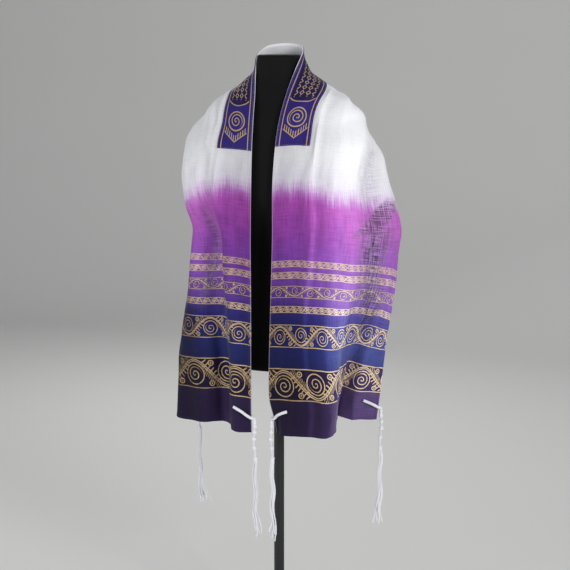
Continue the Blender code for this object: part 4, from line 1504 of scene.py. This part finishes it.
formSizes = {
    "levels": 72,
    "sides": 96,
    "edge": 0.006,
    "clear": 0.0035,
    "clearZone": (0.60, 1.22, 0.06),  # from, to, and how soft its ends are
    "jersey": ("#030304", "#08080B"),
    "seam": (0.0003, 0.0009),
}
standSizes = {
    "baseRadius": 0.18,
    "baseThickness": 0.014,
    "underEdge": 0.002,
    "hubRadius": 0.030,
    "hubHeight": 0.035,
    "hubFillet": 0.008,
    "hubTaper": 0.003,
    "hubSkirt": 0.010,
    "rounding": 0.004,
    "poleRadius": 0.0125,
    "gap": 0.0003,
    "coat": "#17171A",
    "roughness": (0.3, 0.7, 0.36, 0.48),  # noise from and to, and the roughness at both
}


def makeForm(material):
    top, bottom = formRings[-1][0], formRings[0][0]
    z = np.linspace(bottom, top, formSizes["levels"])
    edge = formSizes["edge"]
    rim = edge * (1 - np.cos(np.linspace(0, math.pi / 2, 5)))
    z = np.unique(np.concatenate([z[1:-1], bottom + rim, top - rim]))
    near = np.minimum(z - bottom, top - z)
    pulledIn = edge - np.sqrt(np.maximum(edge ** 2 - (edge - near) ** 2, 0))
    pulledIn = np.where(near < edge, pulledIn, 0)
    left, right, front, back, setBack = ringsAt(formRings, z)
    turn = np.linspace(-math.pi, math.pi, formSizes["sides"], endpoint=False)
    rows = []
    for i, height in enumerate(z):
        side = np.where(turn > 0, right[i], left[i])
        reach = ringReach(turn, side, front[i], back[i]) - pulledIn[i]
        rows.append([
            (r * math.sin(t), setBack[i] - r * math.cos(t), height) for r, t in zip(reach, turn)
        ])
    addPiece("formBody", meshOfRows("formBody", rows, 60), material, "dress_form")


def turnedPiece(name, node, profile, material, segments):
    rows = []
    for radius, height in profile:
        count = segments if radius > 0 else 1
        turns = (2 * math.pi * k / count for k in range(count))
        rows.append([(radius * math.cos(t), radius * math.sin(t), height) for t in turns])
    addPiece(name, meshOfRows(name, rows, 40), material, node)


def rounded(radius, height, size):
    return [
        (radius - size * (1 - math.cos(t)), height - size * (1 - math.sin(t)))
        for t in np.linspace(0, math.pi / 2, 6)
    ]


def makeStand(material):
    size = standSizes
    radius, thickness, hub = size["baseRadius"], size["baseThickness"], size["hubRadius"]
    under, fillet, rounding = size["underEdge"], size["hubFillet"], size["rounding"]
    top = thickness + size["hubHeight"]
    base = [(0, 0), (radius - under, 0), (radius, under)]
    base += rounded(radius, thickness, rounding) + [(hub + size["hubSkirt"], thickness)]
    base += [
        (hub + fillet * (1 - math.sin(t)), thickness + fillet * (1 - math.cos(t)))
        for t in np.linspace(0, math.pi / 2, 7)
    ]
    base += rounded(hub - size["hubTaper"], top, rounding) + [(0, top)]
    turnedPiece("standBase", "stand_base", base, material, 128)
    low, high = top + size["gap"], formRings[0][0] - size["gap"]
    pole = [(0, low), (size["poleRadius"], low), (size["poleRadius"], high), (0, high)]
    turnedPiece("standPole", "stand_pole", pole, material, 48)


def knittedJersey():
    # black cotton jersey stretched over the form: matt, with a dark seam down its middle
    made, add = newMaterial("knittedJersey")
    place = add("ShaderNodeTexCoord").outputs["Object"]
    knit = add("ShaderNodeMapping", {"Vector": place, "Scale": (1, 1, 0.35)})
    knit = add("ShaderNodeTexNoise", {"Vector": knit, "Scale": 900.0, "Detail": 2.0})
    seam = add("ABSOLUTE", add("ShaderNodeSeparateXYZ", place))
    seam = add("ShaderNodeMapRange", seam, *formSizes["seam"], 1.0, 0.0)
    dark, light = (linear(colour) for colour in formSizes["jersey"])
    tone = add("ShaderNodeMix", knit, dark, light, data_type="RGBA")
    tone = add("ShaderNodeMix", seam, tone, dark, data_type="RGBA")
    height = add("MULTIPLY_ADD", seam, -2.0, knit)
    bump = add("ShaderNodeBump", {"Height": height, "Strength": 0.5, "Distance": 0.0005})
    finish = add("ShaderNodeBsdfPrincipled", {
        "Base Color": tone, "Roughness": 0.8, "Normal": bump,
        "Sheen Weight": 0.04, "Sheen Roughness": 0.4, "IOR": 1.3,
    })
    add("ShaderNodeOutputMaterial", finish)
    return made


def powderCoatedSteel():
    # satin black powder coat over turned steel, with a fine pebble in its highlights
    made, add = newMaterial("powderCoatedSteel")
    place = add("ShaderNodeTexCoord").outputs["Object"]
    pebble = add("ShaderNodeTexNoise", {"Vector": place, "Scale": 1400.0})
    rough = add("ShaderNodeMapRange", pebble, *standSizes["roughness"])
    bump = add("ShaderNodeBump", {"Height": pebble, "Strength": 0.25, "Distance": 0.0002})
    finish = add("ShaderNodeBsdfPrincipled", {
        "Base Color": linear(standSizes["coat"]), "Roughness": rough, "Normal": bump,
    })
    add("ShaderNodeOutputMaterial", finish)
    return made


# building

setCamera()
setLights()
makeFloor()

makeForm(knittedJersey())
makeStand(powderCoatedSteel())
print("form and stand are made")

drape = Drape()
print("cloth is draped:", drape.points.shape)
shawl = makeShawl(drape, dipDyedCotton(runningVine(), seedChain()))
neckband = makeNeckband(drape, brocadedSateen())
print("shawl and neckband are made")

row = stitchTree()
makeHemStitches(drape, row, spunThread("dippedThread", stitches["dipped"]))
makeBandStitches(drape, row, spunThread("goldThread", stitches["gold"]))
print("stitches are sewn")

plied, wool = pliedCordTree(), pliedWool()
chance = np.random.default_rng(tasselSizes["seed"])
for tassel in tassels:
    makeTassel(drape, plied, wool, *tassel, chance)
print("tassels are tied")
